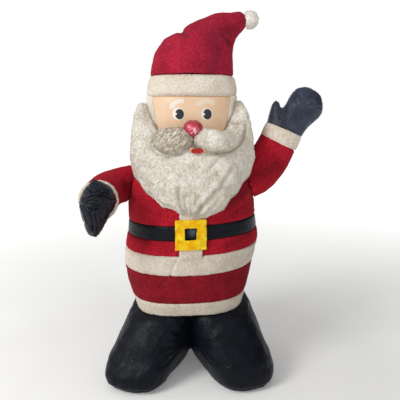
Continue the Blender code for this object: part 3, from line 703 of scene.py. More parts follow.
head = {
    "sides": 320, "rowHeight": 0.005, "levels": 64, "softness": (6.0, 4.0),
    "below": 0.010, "above": 0.004,      # it goes on inside the coat and the brim by this much
    "seamX": (0.164, 0.1885), "seamLevels": (1.225, 1.372),   # half the face's width, low and high
    "seamDepth": 0.0035, "seamWidth": 0.010, "tuck": 0.006,
    "faceSides": 110, "hairSides": 220, "halfWidth": 0.2,
    "fuller": {"low": 0.015, "raised": 0.010},     # the hair swells this much beside the face
    "fullerSpread": 0.45,                          # over this angle
    "pile": {"tuft": 0.013, "height": 0.0050, "lean": 0.5},
}
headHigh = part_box("hair")[1].z
headLevels = np.linspace(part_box("face")[0].z + 0.008, headHigh - 0.0004, head["levels"])
headField = reachField(["face", "hair"], figure["headX"], 0.0, headLevels, head["sides"],
                       head["softness"])


def seamAngles(level):
    # where the face ends on the low arm's side and on the raised arm's side
    half = np.interp(level, head["seamLevels"], head["seamX"])
    found = []
    for start in (math.pi, 1.5 * math.pi):
        quarter = np.linspace(start, start + 0.5 * math.pi, 80)
        reach = onField(headField, headLevels, np.full(80, level), quarter)
        across = np.abs(reach * np.cos(quarter))
        order = np.argsort(across)
        found.append(np.interp(half, across[order], quarter[order]))
    return found


def headPanel(node, front, sides):
    low, high = headLevels[0] - head["below"], headHigh + head["above"]
    levels = np.linspace(low, high, round((high - low) / head["rowHeight"]))
    points = []
    for level in levels:
        lowSide, raisedSide = seamAngles(level)
        if front:
            angle = np.linspace(lowSide, raisedSide, sides)
        else:
            angle = np.linspace(raisedSide, lowSide + math.tau, sides)
        reach = onField(headField, headLevels, np.full(sides, level), angle)
        arc = np.minimum(angle - angle[0], angle[-1] - angle) * head["halfWidth"]
        reach = reach - head["seamDepth"] * np.clip(1 - arc / head["seamWidth"], 0, 1) ** 2
        reach[[0, -1]] -= head["tuck"]
        if not front:
            for side, middle in (("raised", math.tau), ("low", 3 * math.pi)):
                swell = head["fuller"][side] * bell(angle - middle, head["fullerSpread"])
                reach = reach + swell * ramp(arc, 0.0, 0.03)
        points.append(fieldPoints(reach, np.full(sides, level), angle, figure["headX"], 0.0))
    return gridMesh(node, np.array(points), False)


# the face's flesh nylon taffeta, woven and printed: smooth, with a slight even sheen and a faint
# painted glow
faceTaffeta = taffeta("fleshTaffeta", {
    "deep": "#d3b292", "tip": "#dfc2a5", "rim": "#fff0e0", "sheen": 0.10, "wide": 120,
    "roughness": 0.5, "specular": 0.35, "coat": 0.0, "crease": 60, "bump": 0.10, "through": 0.03})

# Printed on it: places are x from the body's middle and height, with half sizes, in metres
facePrint = {
    "white": "#e4ddd3", "iris": "#25272b", "brow": "#d9d0c6", "faintBrow": "#d8c6b2",
    "discs": ((-0.0490, 1.3031, 0.0275, 0.0285), (0.0815, 1.3026, 0.0245, 0.0265)),
    "irises": ((-0.0435, 1.3025, 0.0205, 0.0238), (0.0842, 1.3020, 0.0200, 0.0238)),
    "glints": ((-0.0635, 1.3035, 0.0075, 0.0060), (0.0655, 1.3027, 0.0075, 0.0060)),
    # a brow is an arc of a ring: its middle and half sizes, half thickness, right and low ends
    "brows": ((-0.0370, 1.3290, 0.0430, 0.0320, 0.29, -0.0250, 1.3280),
              (0.0800, 1.3290, 0.0430, 0.0330, 0.32, 0.1150, 1.3430)),
    # sewn lines, dark with thread, and the one under the brim also painted shadow: from x, z to x,
    # z, and half their width
    "seams": ((-0.1790, 1.3810, -0.1530, 1.2350, 0.0022), (0.1985, 1.3810, 0.1760, 1.2200, 0.0026),
              (-0.2000, 1.3815, 0.2200, 1.3815, 0.0022)),
    "threadAndShade": "#b58a66",
    "edge": 0.05,      # how soft a printed edge is, as a share of its radius
}


def brow(tree, place, x, z, halfWidth, halfHeight, thick, rightEnd, lowEnd):
    # a ring, as far as its right end and down to its low end
    edge = facePrint["edge"]
    spread = addNode(tree, "SeparateXYZ", {"Vector": place})
    off = addNode(tree, "Math", {0: ring(tree, place, x, z, halfWidth, halfHeight), 1: -1.0},
                  operation="ADD").outputs[0]
    off = addNode(tree, "Math", {0: off}, operation="ABSOLUTE").outputs[0]
    below = addNode(tree, "Math", {0: 0.0, 1: spread.outputs["Z"]}, operation="SUBTRACT")
    right, mark = figure["x"] + rightEnd, 1.0
    for value, start, end in ((off, thick - edge, thick + edge),
                              (spread.outputs["X"], right - 0.002, right + 0.003),
                              (below.outputs[0], -lowEnd - 0.004, -lowEnd + 0.006)):
        inside = addNode(tree, "MapRange", {"Value": value, "From Min": start, "From Max": end,
                                            **falling}).outputs["Result"]
        mark = addNode(tree, "Math", {0: mark, 1: inside}, operation="MULTIPLY").outputs[0]
    return mark


def sewnLine(tree, place, x0, z0, x1, z1, halfWidth):
    length = math.hypot(x1 - x0, z1 - z0)
    across = ((z1 - z0) / length, 0.0, (x0 - x1) / length)
    start = across[0] * (figure["x"] + x0) + across[2] * z0
    off = addNode(tree, "VectorMath", {0: place, 1: across}, operation="DOT_PRODUCT")
    off = addNode(tree, "Math", {0: off.outputs["Value"], 1: -start}, operation="ADD").outputs[0]
    off = addNode(tree, "Math", {0: off}, operation="ABSOLUTE").outputs[0]
    return addNode(tree, "MapRange", {"Value": off, "From Min": halfWidth * 0.4,
                                      "From Max": halfWidth * 1.6, **falling}).outputs["Result"]


def printFace(material):
    tree, place = reopen(material)
    edge = facePrint["edge"]
    marks = [(brow(tree, place, *sizes), facePrint[code])
             for sizes, code in zip(facePrint["brows"], ("brow", "faintBrow"))]
    marks += [(sewnLine(tree, place, *line), facePrint["threadAndShade"]) for line in facePrint["seams"]]
    for group, code in (("discs", "white"), ("irises", "iris"), ("glints", "white")):
        marks += [(disc(tree, place, ellipse, 1 - edge, 1 + edge), facePrint[code])
                  for ellipse in facePrint[group]]
    printOn(material, marks)


printFace(faceTaffeta)
dress("faceTaffeta", headPanel("face", True, head["faceSides"]), faceTaffeta, "flesh_nylon",
      "face")
hairMesh = headPanel("hair", False, head["hairSides"])
growPile(hairMesh, head["pile"], 71)
dress("hairPlush", hairMesh, whitePlush, "white_pile", "hair")
print("head dressed")


# Hat

hat = {
    "grain": 0.0050, "rounds": 14,
    "pile": {"tuft": 0.014, "height": 0.0034, "lean": 0.5},
    "comb": (0.6, 0, 0.5),                         # its pile lies towards its tip
    # folds pressed into the bag: points on it from the body's middle, how deep and how wide
    "notch": {"line": ((-0.055, 0.010, 1.690), (-0.030, -0.080, 1.672), (0.010, -0.140, 1.640)),
              "depth": 0.015, "width": 0.018},
    "dent": {"line": ((0.142, -0.090, 1.690), (0.156, -0.105, 1.655), (0.180, -0.095, 1.630),
                      (0.206, -0.060, 1.628)), "depth": 0.020, "width": 0.014},
    "slackSize": 0.110, "slack": 0.004, "swellSize": 0.090, "swell": 0.003,
    # painted shade: darker down the side towards the raised arm, in the dent under its tip and in
    # its notch
    "shaded": ((((0.105, 1.495), (0.135, 1.580), (0.110, 1.665)), 0.040, 0.45),
               (((0.130, 1.662), (0.160, 1.646), (0.186, 1.630)), 0.011, 0.60),
               (((0.160, 1.668), (0.205, 1.692)), 0.028, 0.40),
               (((-0.045, 1.672), (-0.015, 1.655)), 0.012, 0.40)),
}
bagMesh = skin("hat_bag", hat["grain"], hat["rounds"])


def foldHat(mesh):
    # the notch where the bag begins to bend over, and the dent under its tip
    points, normals = readPoints(mesh), readNormals(mesh)
    local = points - origin
    for fold in (hat["notch"], hat["dent"]):
        near = fromPath(local, fold["line"])[0]
        points -= normals * (fold["depth"] * bell(near, fold["width"]))[:, None]
    slack = (creases(local, hat["slackSize"], 19, 0.5) * hat["slack"]
             + drift(local, hat["swellSize"], 23) * hat["swell"])
    points -= normals * slack[:, None]
    writePoints(mesh, points)


foldHat(bagMesh)
growPile(bagMesh, hat["pile"], 83, comb=hat["comb"])
paintShadowMarks(bagMesh, hat["shaded"])
dress("hatFleece", bagMesh, hatFleece, "red_fleece", "hat_bag")

brim = {
    "sides": 320, "rows": 26, "levels": 24, "softness": (6.0, 3.0),
    "pile": {"tuft": 0.013, "height": 0.0040, "lean": 0.4},
    "edgeDepth": 0.010, "edgeWidth": 0.020, "roundness": 2.5,
    "tuckLow": (0.020, 0.008), "tuckHigh": (0.012, 0.030),      # it turns in at both edges
}
brimLow, brimHigh = (corner.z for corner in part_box("hat_brim"))
brimLevels = np.linspace(brimLow + 0.001, brimHigh - 0.001, brim["levels"])
brimField = reachField(["hat_brim"], figure["headX"], 0.0, brimLevels, brim["sides"],
                       brim["softness"])
level = np.linspace(brimLow, brimHigh, brim["rows"])[:, None]
angle = np.arange(brim["sides"])[None, :] / brim["sides"] * math.tau
reach = onField(brimField, brimLevels, level + 0 * angle, angle + 0 * level)
toEdge = np.minimum(level - brimLow, brimHigh - level)
reach = reach - brim["edgeDepth"] * (
    np.clip(1 - toEdge / brim["edgeWidth"], 0, 1) ** brim["roundness"])
reach = np.concatenate([reach[:1] - np.array(brim["tuckLow"])[:, None], reach,
                        reach[-1:] - np.array(brim["tuckHigh"])[:, None]])
level = np.concatenate([[[brimLow], [brimLow]], level, [[brimHigh], [brimHigh - 0.004]]])
brimMesh = gridMesh("hat_brim", fieldPoints(reach, level + 0 * angle, angle + 0 * level,
                                            figure["headX"], 0.0), True)
growPile(brimMesh, brim["pile"], 97)
dress("brimFleece", brimMesh, creamFleece, "cream_fleece", "hat_brim")

pompom = {
    "grain": 0.003, "rounds": 6,
    "pile": {"tuft": 0.012, "height": 0.004, "lean": 0.3},
    "lock": {"count": 1500, "length": 0.012, "width": 0.0028, "lift": 0.9, "unruly": 0.9},
}
pompomMesh = skin("hat_pompom", pompom["grain"], pompom["rounds"])
growPile(pompomMesh, pompom["pile"], 101)
pompomMiddle = np.array(sum(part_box("hat_pompom"), Vector()) / 2)
pompomMesh = growLocks(pompomMesh, pompom["lock"], 103, lambda root: root - pompomMiddle,
                       lambda points, normals: normals[:, 0] > -0.6)
dress("pompomPlush", pompomMesh, pompomPlush, "white_pile", "hat_pompom")
print("hat dressed")


# Beard, moustache, nose and mouth

beard = {
    "grain": 0.0045, "rounds": 10,
    # the pile runs in arcs from the mouth to the beard's tip, and so do its folds
    "from": (0.020, 1.170), "to": (0.005, 0.835),
    "course": (0.12, 0.030),        # metres to one unit round the arcs, and along them
    "broad": 0.044, "broadDepth": 0.0080, "fine": 0.016, "fineDepth": 0.0018,
    "foldTop": 1.10, "foldDeep": 0.96,      # the folds deepen down between these heights
    # long creases that the photograph shows on its front, from x, z to x, z
    "creases": (((0.195, 1.060), (0.130, 0.960), (0.020, 0.850)),
                ((0.120, 0.970), (0.060, 0.900), (0.035, 0.850)),
                ((0.150, 1.120), (0.085, 1.050)),
                ((-0.045, 0.975), (-0.040, 0.900), (-0.015, 0.850))),
    "creaseDepth": 0.0060, "creaseWidth": 0.0085, "creaseSway": 0.006, "swaySize": 0.05,
    "ridge": 0.5, "ridgeOff": 0.020, "ridgeWidth": 0.011,     # the cloth rises beside a crease
    # the pile parts round the moustache
    "partings": (((0.268, 1.252), (0.258, 1.200), (0.215, 1.150), (0.150, 1.128),
                  (0.085, 1.128)),
                 ((-0.184, 1.150), (-0.150, 1.124), (-0.090, 1.112), (-0.030, 1.132))),
    "partingDepth": 0.0100, "partingWidth": 0.0100,
    # painted shade: darker round the moustache, beside the face, in the creases and low on the
    # raised arm's side
    "shaded": ((((0.262, 1.246), (0.256, 1.200), (0.230, 1.158), (0.190, 1.135),
                 (0.120, 1.128)), 0.0060, 0.75),
               (((-0.176, 1.150), (-0.150, 1.128), (-0.095, 1.112),
                 (-0.030, 1.130)), 0.0070, 0.40),
               (((-0.176, 1.378), (-0.170, 1.300), (-0.150, 1.245)), 0.0060, 0.60),
               (((0.205, 1.378), (0.196, 1.300), (0.180, 1.250)), 0.0060, 0.45),
               (((0.185, 1.262), (0.215, 1.258), (0.246, 1.266)), 0.0100, 0.40),
               (((0.195, 1.060), (0.130, 0.960), (0.020, 0.850)), 0.0120, 0.25),
               (((0.120, 0.970), (0.060, 0.900), (0.035, 0.850)), 0.0120, 0.28),
               (((-0.045, 0.975), (-0.030, 0.900), (-0.010, 0.850)), 0.0160, 0.26),
               (((0.260, 1.080), (0.230, 0.990), (0.150, 0.900)), 0.0300, 0.16)),
    "pile": {"tuft": 0.009, "height": 0.0034, "lean": 0.7},
    "lock": {"count": 7700, "length": 0.0120, "width": 0.0032, "lift": 0.32, "unruly": 0.50},
    # its top ends stand clear of the face's sides: how far out and back, at full height
    "clear": {"low": (0.002, 0.012, -0.030), "raised": (0.006, 0.010, -0.012)},
    "clearFrom": 1.235, "clearTo": 1.365, "clearOuter": 0.262, "clearInner": 0.205,
}
moustache = {
    "grain": 0.0035, "rounds": 7,
    "droopingPile": {"tuft": 0.015, "height": 0.0080, "lean": 1.2},
    "curledPile": {"tuft": 0.011, "height": 0.0050, "lean": 0.9},
    "drooping": {"count": 1300, "length": 0.021, "width": 0.0050, "lift": 0.34, "unruly": 0.28},
    "curled": {"count": 2000, "length": 0.014, "width": 0.0036, "lift": 0.34, "unruly": 0.40},
    # painted shade: darker by the nose and mouth, on the underside of the drooping lobe and under
    # the curled end
    "shaded": {"drooping": ((((-0.004, 1.235), (0.004, 1.190), (0.002, 1.140)), 0.026, 0.50),
                            (((-0.010, 1.130), (-0.080, 1.122), (-0.150, 1.140)), 0.016, 0.30)),
               "curled": ((((0.030, 1.235), (0.022, 1.190), (0.030, 1.140)), 0.014, 0.35),
                          (((0.080, 1.134), (0.180, 1.142), (0.236, 1.180),
                            (0.256, 1.240)), 0.007, 0.45))},
    # the curled end stands off the beard, from here on outwards
    "curlFrom": (0.07, 0.17), "curlForward": 0.026, "curlFuller": 0.002,
    "combParts": 0.02, "combTurnsUp": (0.08, 0.21),
}


def beardFlow(points):
    # round the arcs, along them, and the direction that the pile takes
    local = points - origin
    flat = local[:, (0, 2)]
    start, end = flat - np.array(beard["from"]), flat - np.array(beard["to"])
    toStart, toEnd = np.linalg.norm(start, axis=1) + 1e-4, np.linalg.norm(end, axis=1) + 1e-4
    around = np.arctan2(start[:, 0] * end[:, 1] - start[:, 1] * end[:, 0],
                        (start * end).sum(axis=1))
    along = np.log(toStart / toEnd)
    way = start / toStart[:, None] ** 2 - end / toEnd[:, None] ** 2
    way /= np.linalg.norm(way, axis=1, keepdims=True) + 1e-9
    return around, along, np.stack([way[:, 0], 0 * toStart, way[:, 1]], axis=-1)


def foldBeard(mesh):
    points, normals = readPoints(mesh), readNormals(mesh)
    around, along, _ = beardFlow(points)
    course = np.stack([around * beard["course"][0], along * beard["course"][1], 0 * along],
                      axis=-1)
    broad = 1 - np.abs(drift(course, beard["broad"], 3)) * 1.6
    fine = 1 - np.abs(drift(course, beard["fine"], 5)) * 1.6
    front = ramp(-normals[:, 1], -0.2, 0.4)
    low = ramp(-(points - origin)[:, 2], -beard["foldTop"], -beard["foldDeep"])
    sink = (beard["broadDepth"] * np.clip(broad, 0, 1) ** 3 * low
            + beard["fineDepth"] * np.clip(fine, 0, 1) ** 2 * (0.3 + 0.7 * low))
    flat = (points - origin)[:, (0, 2)]
    swayed = flat + beard["creaseSway"] * drift(points, beard["swaySize"], 61)[:, None]
    for path in beard["creases"]:
        near = fromPath(swayed, path)[0]
        ridge = beard["ridge"] * bell(near - beard["ridgeOff"], beard["ridgeWidth"])
        sink += beard["creaseDepth"] * (bell(near, beard["creaseWidth"]) - ridge)
    for path in beard["partings"]:
        sink += beard["partingDepth"] * bell(fromPath(flat, path)[0], beard["partingWidth"])
    points -= normals * (sink * front)[:, None]
    local = points - origin
    height = ramp(local[:, 2], beard["clearFrom"], beard["clearTo"])
    for side, sign in (("low", -1), ("raised", 1)):
        out = sign * (local[:, 0] - figure["headX"])
        inner = ramp(-out, -beard["clearOuter"], -beard["clearInner"]) * (out > 0.05)
        points += (height * inner)[:, None] * np.array(beard["clear"][side])
    writePoints(mesh, points)


beardMesh = skin("beard", beard["grain"], beard["rounds"])
foldBeard(beardMesh)
growPile(beardMesh, beard["pile"], 113, comb=(0, 0, -1))
beardMesh = growLocks(beardMesh, beard["lock"], 117, lambda root: beardFlow(root)[2],
                      lambda points, normals: normals[:, 1] < 0.35)
paintShadowMarks(beardMesh, beard["shaded"])
dress("beardPlush", beardMesh, whitePlush, "white_pile", "beard")


def combMoustache(root):
    # down and out from the nose, and up again at the curled end
    local = root - origin
    out = np.where(local[:, 0] < moustache["combParts"], -0.6, 1.0)
    down = -1.0 + 2.2 * ramp(local[:, 0], *moustache["combTurnsUp"])
    return np.stack([out * 0.8, 0 * out, down], axis=-1)


for node, name, seed in (("moustache_drooping", "moustacheLow", 127),
                         ("moustache_curled", "moustacheRaised", 131)):
    lobe = skin(node, moustache["grain"], moustache["rounds"])
    points, normals = readPoints(lobe), readNormals(lobe)
    curl = ramp((points - origin)[:, 0], *moustache["curlFrom"])[:, None]
    forward = np.array((0, -moustache["curlForward"], 0))
    points += curl * (normals * moustache["curlFuller"] + forward)
    writePoints(lobe, points)
    style = node.split("_")[1]
    growPile(lobe, moustache[style + "Pile"], seed, comb=combMoustache(readPoints(lobe)))
    lobe = growLocks(lobe, moustache[style], seed, combMoustache,
                     lambda points, normals: normals[:, 1] < 0.5)
    paintShadowMarks(lobe, moustache["shaded"][style])
    dress(name, lobe, litCurledPlush if style == "curled" else shaggyPlush, "white_pile", node)

nose = {
    "grain": 0.0025, "rounds": 8,
    "swell": 0.0030, "lump": 0.0016, "lumpSize": 0.018, "creaseSize": 0.020,
    # painted shade on its rim, and a painted highlight, its glint
    "rim": "#94152e", "rimAt": (0.018, 1.240, 0.043, 0.038),       # x, z and half sizes
    "paintedGlint": "#f3b4c4", "glintAt": (0.024, 1.232, 0.022, 0.020),
    "glintSize": 11, "glintFrom": 0.44, "glintTo": 0.54,
}
# nylon satin, woven and puffed out: a wet-looking pink red, with painted shade at its rim and
# painted broken highlights
noseSatin = taffeta("noseSatin", {
    "deep": "#a01530", "tip": "#c42c4b", "rim": "#ffc0d0", "sheen": 0.1, "wide": 16,
    "roughness": 0.24, "specular": 0.5, "coat": 0.45, "crease": 11, "bump": 0.65})
tree, place = reopen(noseSatin)
spark = addNode(tree, "TexNoise", {"Vector": place, "Scale": 1000 / nose["glintSize"],
                                   "Detail": 2})
spark = addNode(tree, "MapRange", {"Value": spark.outputs["Fac"], "From Min": nose["glintFrom"],
                                   "From Max": nose["glintTo"], **falling})
paintedGlint = addNode(tree, "Math", {0: disc(tree, place, nose["glintAt"], 0.4, 1.1),
                               1: spark.outputs["Result"]}, operation="MULTIPLY")
# the rim's mark is 0 inside and 1 outside: painted shade where the ball turns away. The glint is a
# painted highlight
printOn(noseSatin, [(disc(tree, place, nose["rimAt"], 0.95, 0.62), nose["rim"]),
                    (paintedGlint.outputs[0], nose["paintedGlint"])])
noseMesh = skin("nose", nose["grain"], nose["rounds"])
points, normals = readPoints(noseMesh), readNormals(noseMesh)
local = points - origin
lumps = nose["swell"] + nose["lump"] * (drift(local, nose["lumpSize"], 7)
                                        - creases(local, nose["creaseSize"], 9))
writePoints(noseMesh, points + normals * lumps[:, None])
dress("noseSatin", noseMesh, noseSatin, "nose_nylon", "nose")

mouth = {
    "grain": 0.002, "rounds": 4,
    "rim": "#e0aa88", "rimAt": (0.038, 1.1435, 0.0320, 0.0125),    # x, z and half sizes
    "grow": (1.14, 1, 1.08), "shift": (0.0015, -0.010, -0.0035),
}
# polyester felt, needled and glued on: flat and matt, with no highlight
lipFelt = fleece("lipFelt", {
    "deep": "#8f2022", "mid": "#a52b2b", "tip": "#b23a36", "shadeLow": "#f0e8e8",
    "rim": "#ffb0a8", "sheen": 0.1, "mottle": 9, "wide": 40, "fibre": 3, "bump": 0.3})
tree, place = reopen(lipFelt)
printOn(lipFelt, [(disc(tree, place, mouth["rimAt"], 0.98, 0.86), mouth["rim"])])
lipMesh = skin("mouth", mouth["grain"], mouth["rounds"])
lipMiddle = np.array(sum(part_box("mouth"), Vector()) / 2)
grown = (readPoints(lipMesh) - lipMiddle) * mouth["grow"]
writePoints(lipMesh, grown + lipMiddle + mouth["shift"])
dress("mouthFelt", lipMesh, lipFelt, "lip_felt", "mouth")
print("face pieces dressed")


# Placket and buckle

placket = {
    "grain": 0.0022, "rounds": 2,
    "pile": {"tuft": 0.012, "height": 0.003, "lean": 0.4},
    "footLength": 0.035, "footDrop": (0, 0.003, -0.014),     # its foot laps down over the band
}
for node, name, seed in (("placket_upper", "placketTop", 139),
                         ("placket_lower", "placketFoot", 149)):
    strip = skin(node, placket["grain"], placket["rounds"])
    if node == "placket_lower":
        points = readPoints(strip)
        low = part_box(node)[0].z
        foot = ramp(-points[:, 2], -low - placket["footLength"], -low)
        writePoints(strip, points + foot[:, None] * np.array(placket["footDrop"]))
    growPile(strip, placket["pile"], seed)
    dress(name, strip, creamFleece, "cream_fleece", node)

buckle = {
    "grain": 0.0022, "rounds": 3,
    "swell": 0.0016, "swellSize": 0.020, "dent": 0.0016, "dentSize": 0.030,
    "grit": 0.0006, "gritSize": 0.006,
}
# polyester felt, needled and sewn on: flat yellow with orange clouds
yellowFelt = fleece("yellowFelt", {
    "deep": "#d8ae1a", "mid": "#e6c822", "tip": "#edd62b", "shadeLow": "#ffe0a0",
    "rim": "#fff0a0", "sheen": 0.12, "mottle": 30, "wide": 60, "fibre": 3, "bump": 0.3})
buckleMesh = skin("buckle", buckle["grain"], buckle["rounds"])
points, normals = readPoints(buckleMesh), readNormals(buckleMesh)
local = points - origin
lumps = (buckle["swell"] * drift(local, buckle["swellSize"], 15)
         - buckle["dent"] * creases(local, buckle["dentSize"], 17)
         + buckle["grit"] * drift(local, buckle["gritSize"], 18))
writePoints(buckleMesh, points + normals * lumps[:, None])
dress("buckleFelt", buckleMesh, yellowFelt, "yellow_felt", "buckle")


# Arms and legs

arms = {
    "sleeve": {"grain": 0.005, "rounds": 10, "cornerRounds": 2},
    "cuff": {"grain": 0.003, "rounds": 5},
    "cuffPile": {"tuft": 0.012, "height": 0.003, "lean": 0.4},
    # the raised sleeve's end, this long, reaches this much further, right into the cuff
    "raisedWay": (0.34, 0.0, 0.94), "raisedEnd": 0.045, "raisedReach": 0.012,
    # painted shade: darker low on the low sleeve beside the body, and under the beard's edge on the
    # raised one
    "shaded": {"low": ((((-0.280, 0.910), (-0.300, 0.965)), 0.030, 0.60),),
               "raised": ((((0.300, 1.000), (0.370, 1.030), (0.420, 1.060)), 0.040, 0.50),)},
}
mittens = {
    "grain": 0.0026, "rounds": 3, "slackSize": 0.050, "creaseSize": 0.045, "foldStep": 0.012,
    # a seam's gathers: how deep, from one to the next and how far they reach. And its own dip
    "seam": {"gathers": 0.0020, "step": 0.011, "reach": 0.011, "dip": 0.0012, "width": 0.004},
    "low": {
        # the sewn outline in x and z, from the body's middle, round from the thumb
        "outline": ((-0.4210, 1.0240), (-0.4190, 1.0290), (-0.4100, 1.0335), (-0.4030, 1.0270),
                    (-0.3780, 1.0215), (-0.3430, 1.0040), (-0.3240, 0.9750), (-0.3160, 0.9500),
                    (-0.3130, 0.9249), (-0.3180, 0.9080), (-0.3430, 0.8700), (-0.3680, 0.8230),
                    (-0.3900, 0.7870), (-0.4060, 0.7700), (-0.4260, 0.7690), (-0.4430, 0.7870),
                    (-0.4640, 0.8450), (-0.4755, 0.8990),
                    (-0.4755, 0.9249), (-0.4705, 0.9500), (-0.4580, 0.9740), (-0.4360, 1.0030)),
        "middleY": -0.372, "frontDepth": 0.098, "backDepth": 0.046,
        # folds: the places that each goes through, how deep and how wide
        "folds": ((((-0.436, 1.005), (-0.405, 0.984), (-0.370, 0.990),
                    (-0.340, 0.978)), 0.006, 0.0045),
                  (((-0.446, 0.950), (-0.394, 0.975), (-0.352, 0.972),
                    (-0.318, 0.941)), 0.006, 0.0040),
                  (((-0.440, 0.938), (-0.400, 0.958), (-0.372, 0.952)), 0.004, 0.0035),
                  (((-0.418, 0.921), (-0.398, 0.912), (-0.380, 0.917)), 0.006, 0.0035),
                  (((-0.414, 0.905), (-0.404, 0.862), (-0.409, 0.815)), 0.005, 0.0045),
                  (((-0.390, 0.895), (-0.384, 0.850), (-0.392, 0.820)), 0.004, 0.0045),
                  (((-0.455, 0.925), (-0.438, 0.895), (-0.430, 0.850)), 0.004, 0.0050),
                  (((-0.350, 0.945), (-0.335, 0.905), (-0.352, 0.870)), 0.003, 0.0050)),
        "slack": 0.0040,
    },
    "raised": {
        "outline": ((0.3772, 1.2500), (0.3924, 1.3107), (0.4030, 1.3500), (0.4195, 1.3690),
                    (0.4400, 1.3570), (0.4471, 1.3262), (0.4640, 1.3362), (0.4856, 1.3814),
                    (0.5190, 1.4256), (0.5639, 1.4340), (0.6029, 1.4216), (0.6408, 1.3900),
                    (0.6546, 1.3453), (0.6506, 1.3041), (0.6378, 1.2800), (0.6082, 1.2570),
                    (0.5800, 1.2300), (0.5560, 1.1962), (0.5300, 1.1500), (0.5120, 1.1180),
                    (0.3680, 1.1680), (0.3710, 1.2100)),
        "middleY": -0.020, "frontDepth": 0.080, "backDepth": 0.076,
        "folds": ((((0.436, 1.318), (0.430, 1.300), (0.432, 1.280)), 0.0035, 0.005),
                  (((0.452, 1.240), (0.466, 1.290), (0.490, 1.340)), 0.002, 0.010),
                  (((0.520, 1.400), (0.540, 1.370), (0.545, 1.340)), 0.002, 0.008)),
        "slack": 0.0016,
    },
}


def sewnMitten(side):
    # puckered along its seam, with folds pressed in and some slack in the cloth
    make = mittens[side]
    mesh = pillow(make["outline"], mittens["grain"], make["middleY"], make["frontDepth"],
                  make["backDepth"])
    writePoints(mesh, worn(readPoints(mesh), readEdges(mesh), mittens["rounds"]))
    points, normals = readPoints(mesh), readNormals(mesh)
    local = points - origin
    flat = local[:, (0, 2)]
    move = make["slack"] * (0.6 * drift(local, mittens["slackSize"], 25)
                            - creases(local, mittens["creaseSize"], 27, 0.45))
    toSeam, along = fromPath(flat, make["outline"] + make["outline"][:1])
    move += puckered(local, toSeam, along, mittens["seam"], 31)
    front = ramp(-normals[:, 1], -0.1, 0.3)
    for path, depth, width in make["folds"]:
        near, along = fromPath(flat, path)
        uneven = 0.6 * gathers(local, 0 * near, along, mittens["foldStep"], 1.0, 33)
        fold = bell(near, width) * (1 + uneven)
        move -= front * depth * (fold - 0.5 * bell(near - 1.9 * width, width))
    writePoints(mesh, points + normals * move[:, None])
    return mesh


legs = {
    "grain": 0.0055, "rounds": 12, "cornerRounds": 3,
    # the inner sides are drawn together by this much, over this width and above these heights
    "meet": 0.013, "meetWidth": 0.030, "meetFrom": (0.045, 0.080),
    # the toes' outer corners reach this much further out, and the toes this much forward
    "corner": 0.009, "toe": {"low": 0.026, "raised": 0.008}, "toeSpread": 0.4, "footX": 0.215,
    "crotch": (0.0, 0.200),       # the gathers of the middle seam spread from here, in x and z
    "gathers": 0.0044, "fanAngle": 0.170, "fanReach": 0.100, "fanAbove": 0.12,
    # the seams as on the mittens. The front ones' gathers and dip are shares of their depth
    "middleSeam": {"gathers": 0.0020, "step": 0.014, "reach": 0.018, "dip": 0.0, "width": 0.005},
    "frontSeam": {"gathers": 0.5, "step": 0.015, "reach": 0.016, "dip": 0.8, "width": 0.005},
    "sideSeam": {"gathers": 0.0016, "step": 0.016, "reach": 0.018, "dip": 0.0022, "width": 0.005},
    "soleSeam": {"gathers": 0.0014, "step": 0.018, "reach": 0.016, "dip": 0.0028, "width": 0.005},
    "middleSeamAbove": 0.14, "sideSeamY": -0.120, "soleLevel": 0.022,
    # the front seams go through these x and z
    "low": {"line": ((-0.044, 0.340), (-0.139, 0.231), (-0.215, 0.120)), "depth": 0.0022},
    "raised": {"line": ((0.075, 0.320), (0.083, 0.294), (0.178, 0.143), (0.205, 0.030)),
               "depth": 0.0024},
    "slack": 0.0045, "slackSize": 0.085, "fineSize": 0.040,
    # wrinkles: how deep, how wide, how much lower than wide, and how large the slack places are
    "wrinkle": 0.0028, "wrinkleSize": 0.040, "wrinkleFlat": 0.45, "looseSize": 0.12,
}


def shapeToes(points, side):
    # the legs meet in the middle, and the toes reach forward and out
    fromMiddle, forward = points[:, 0] - origin[0], origin[1] - points[:, 1]
    away = np.sign(fromMiddle)
    drawn = bell(fromMiddle, legs["meetWidth"]) * ramp(points[:, 2], *legs["meetFrom"])
    points[:, 0] -= away * legs["meet"] * drawn
    corner = ramp(np.abs(fromMiddle), 0.28, 0.38) * ramp(-points[:, 2], -0.12, -0.05)
    points[:, 0] += away * legs["corner"] * corner * ramp(forward, 0.05, 0.25)
    toe = legs["toe"][side] * ramp(forward, 0.20, 0.36) * ramp(-points[:, 2], -0.16, -0.03)
    points[:, 1] -= toe
    footX = origin[0] + legs["footX"] * (-1 if side == "low" else 1)
    points[:, 0] += legs["toeSpread"] * toe * np.sign(points[:, 0] - footX)


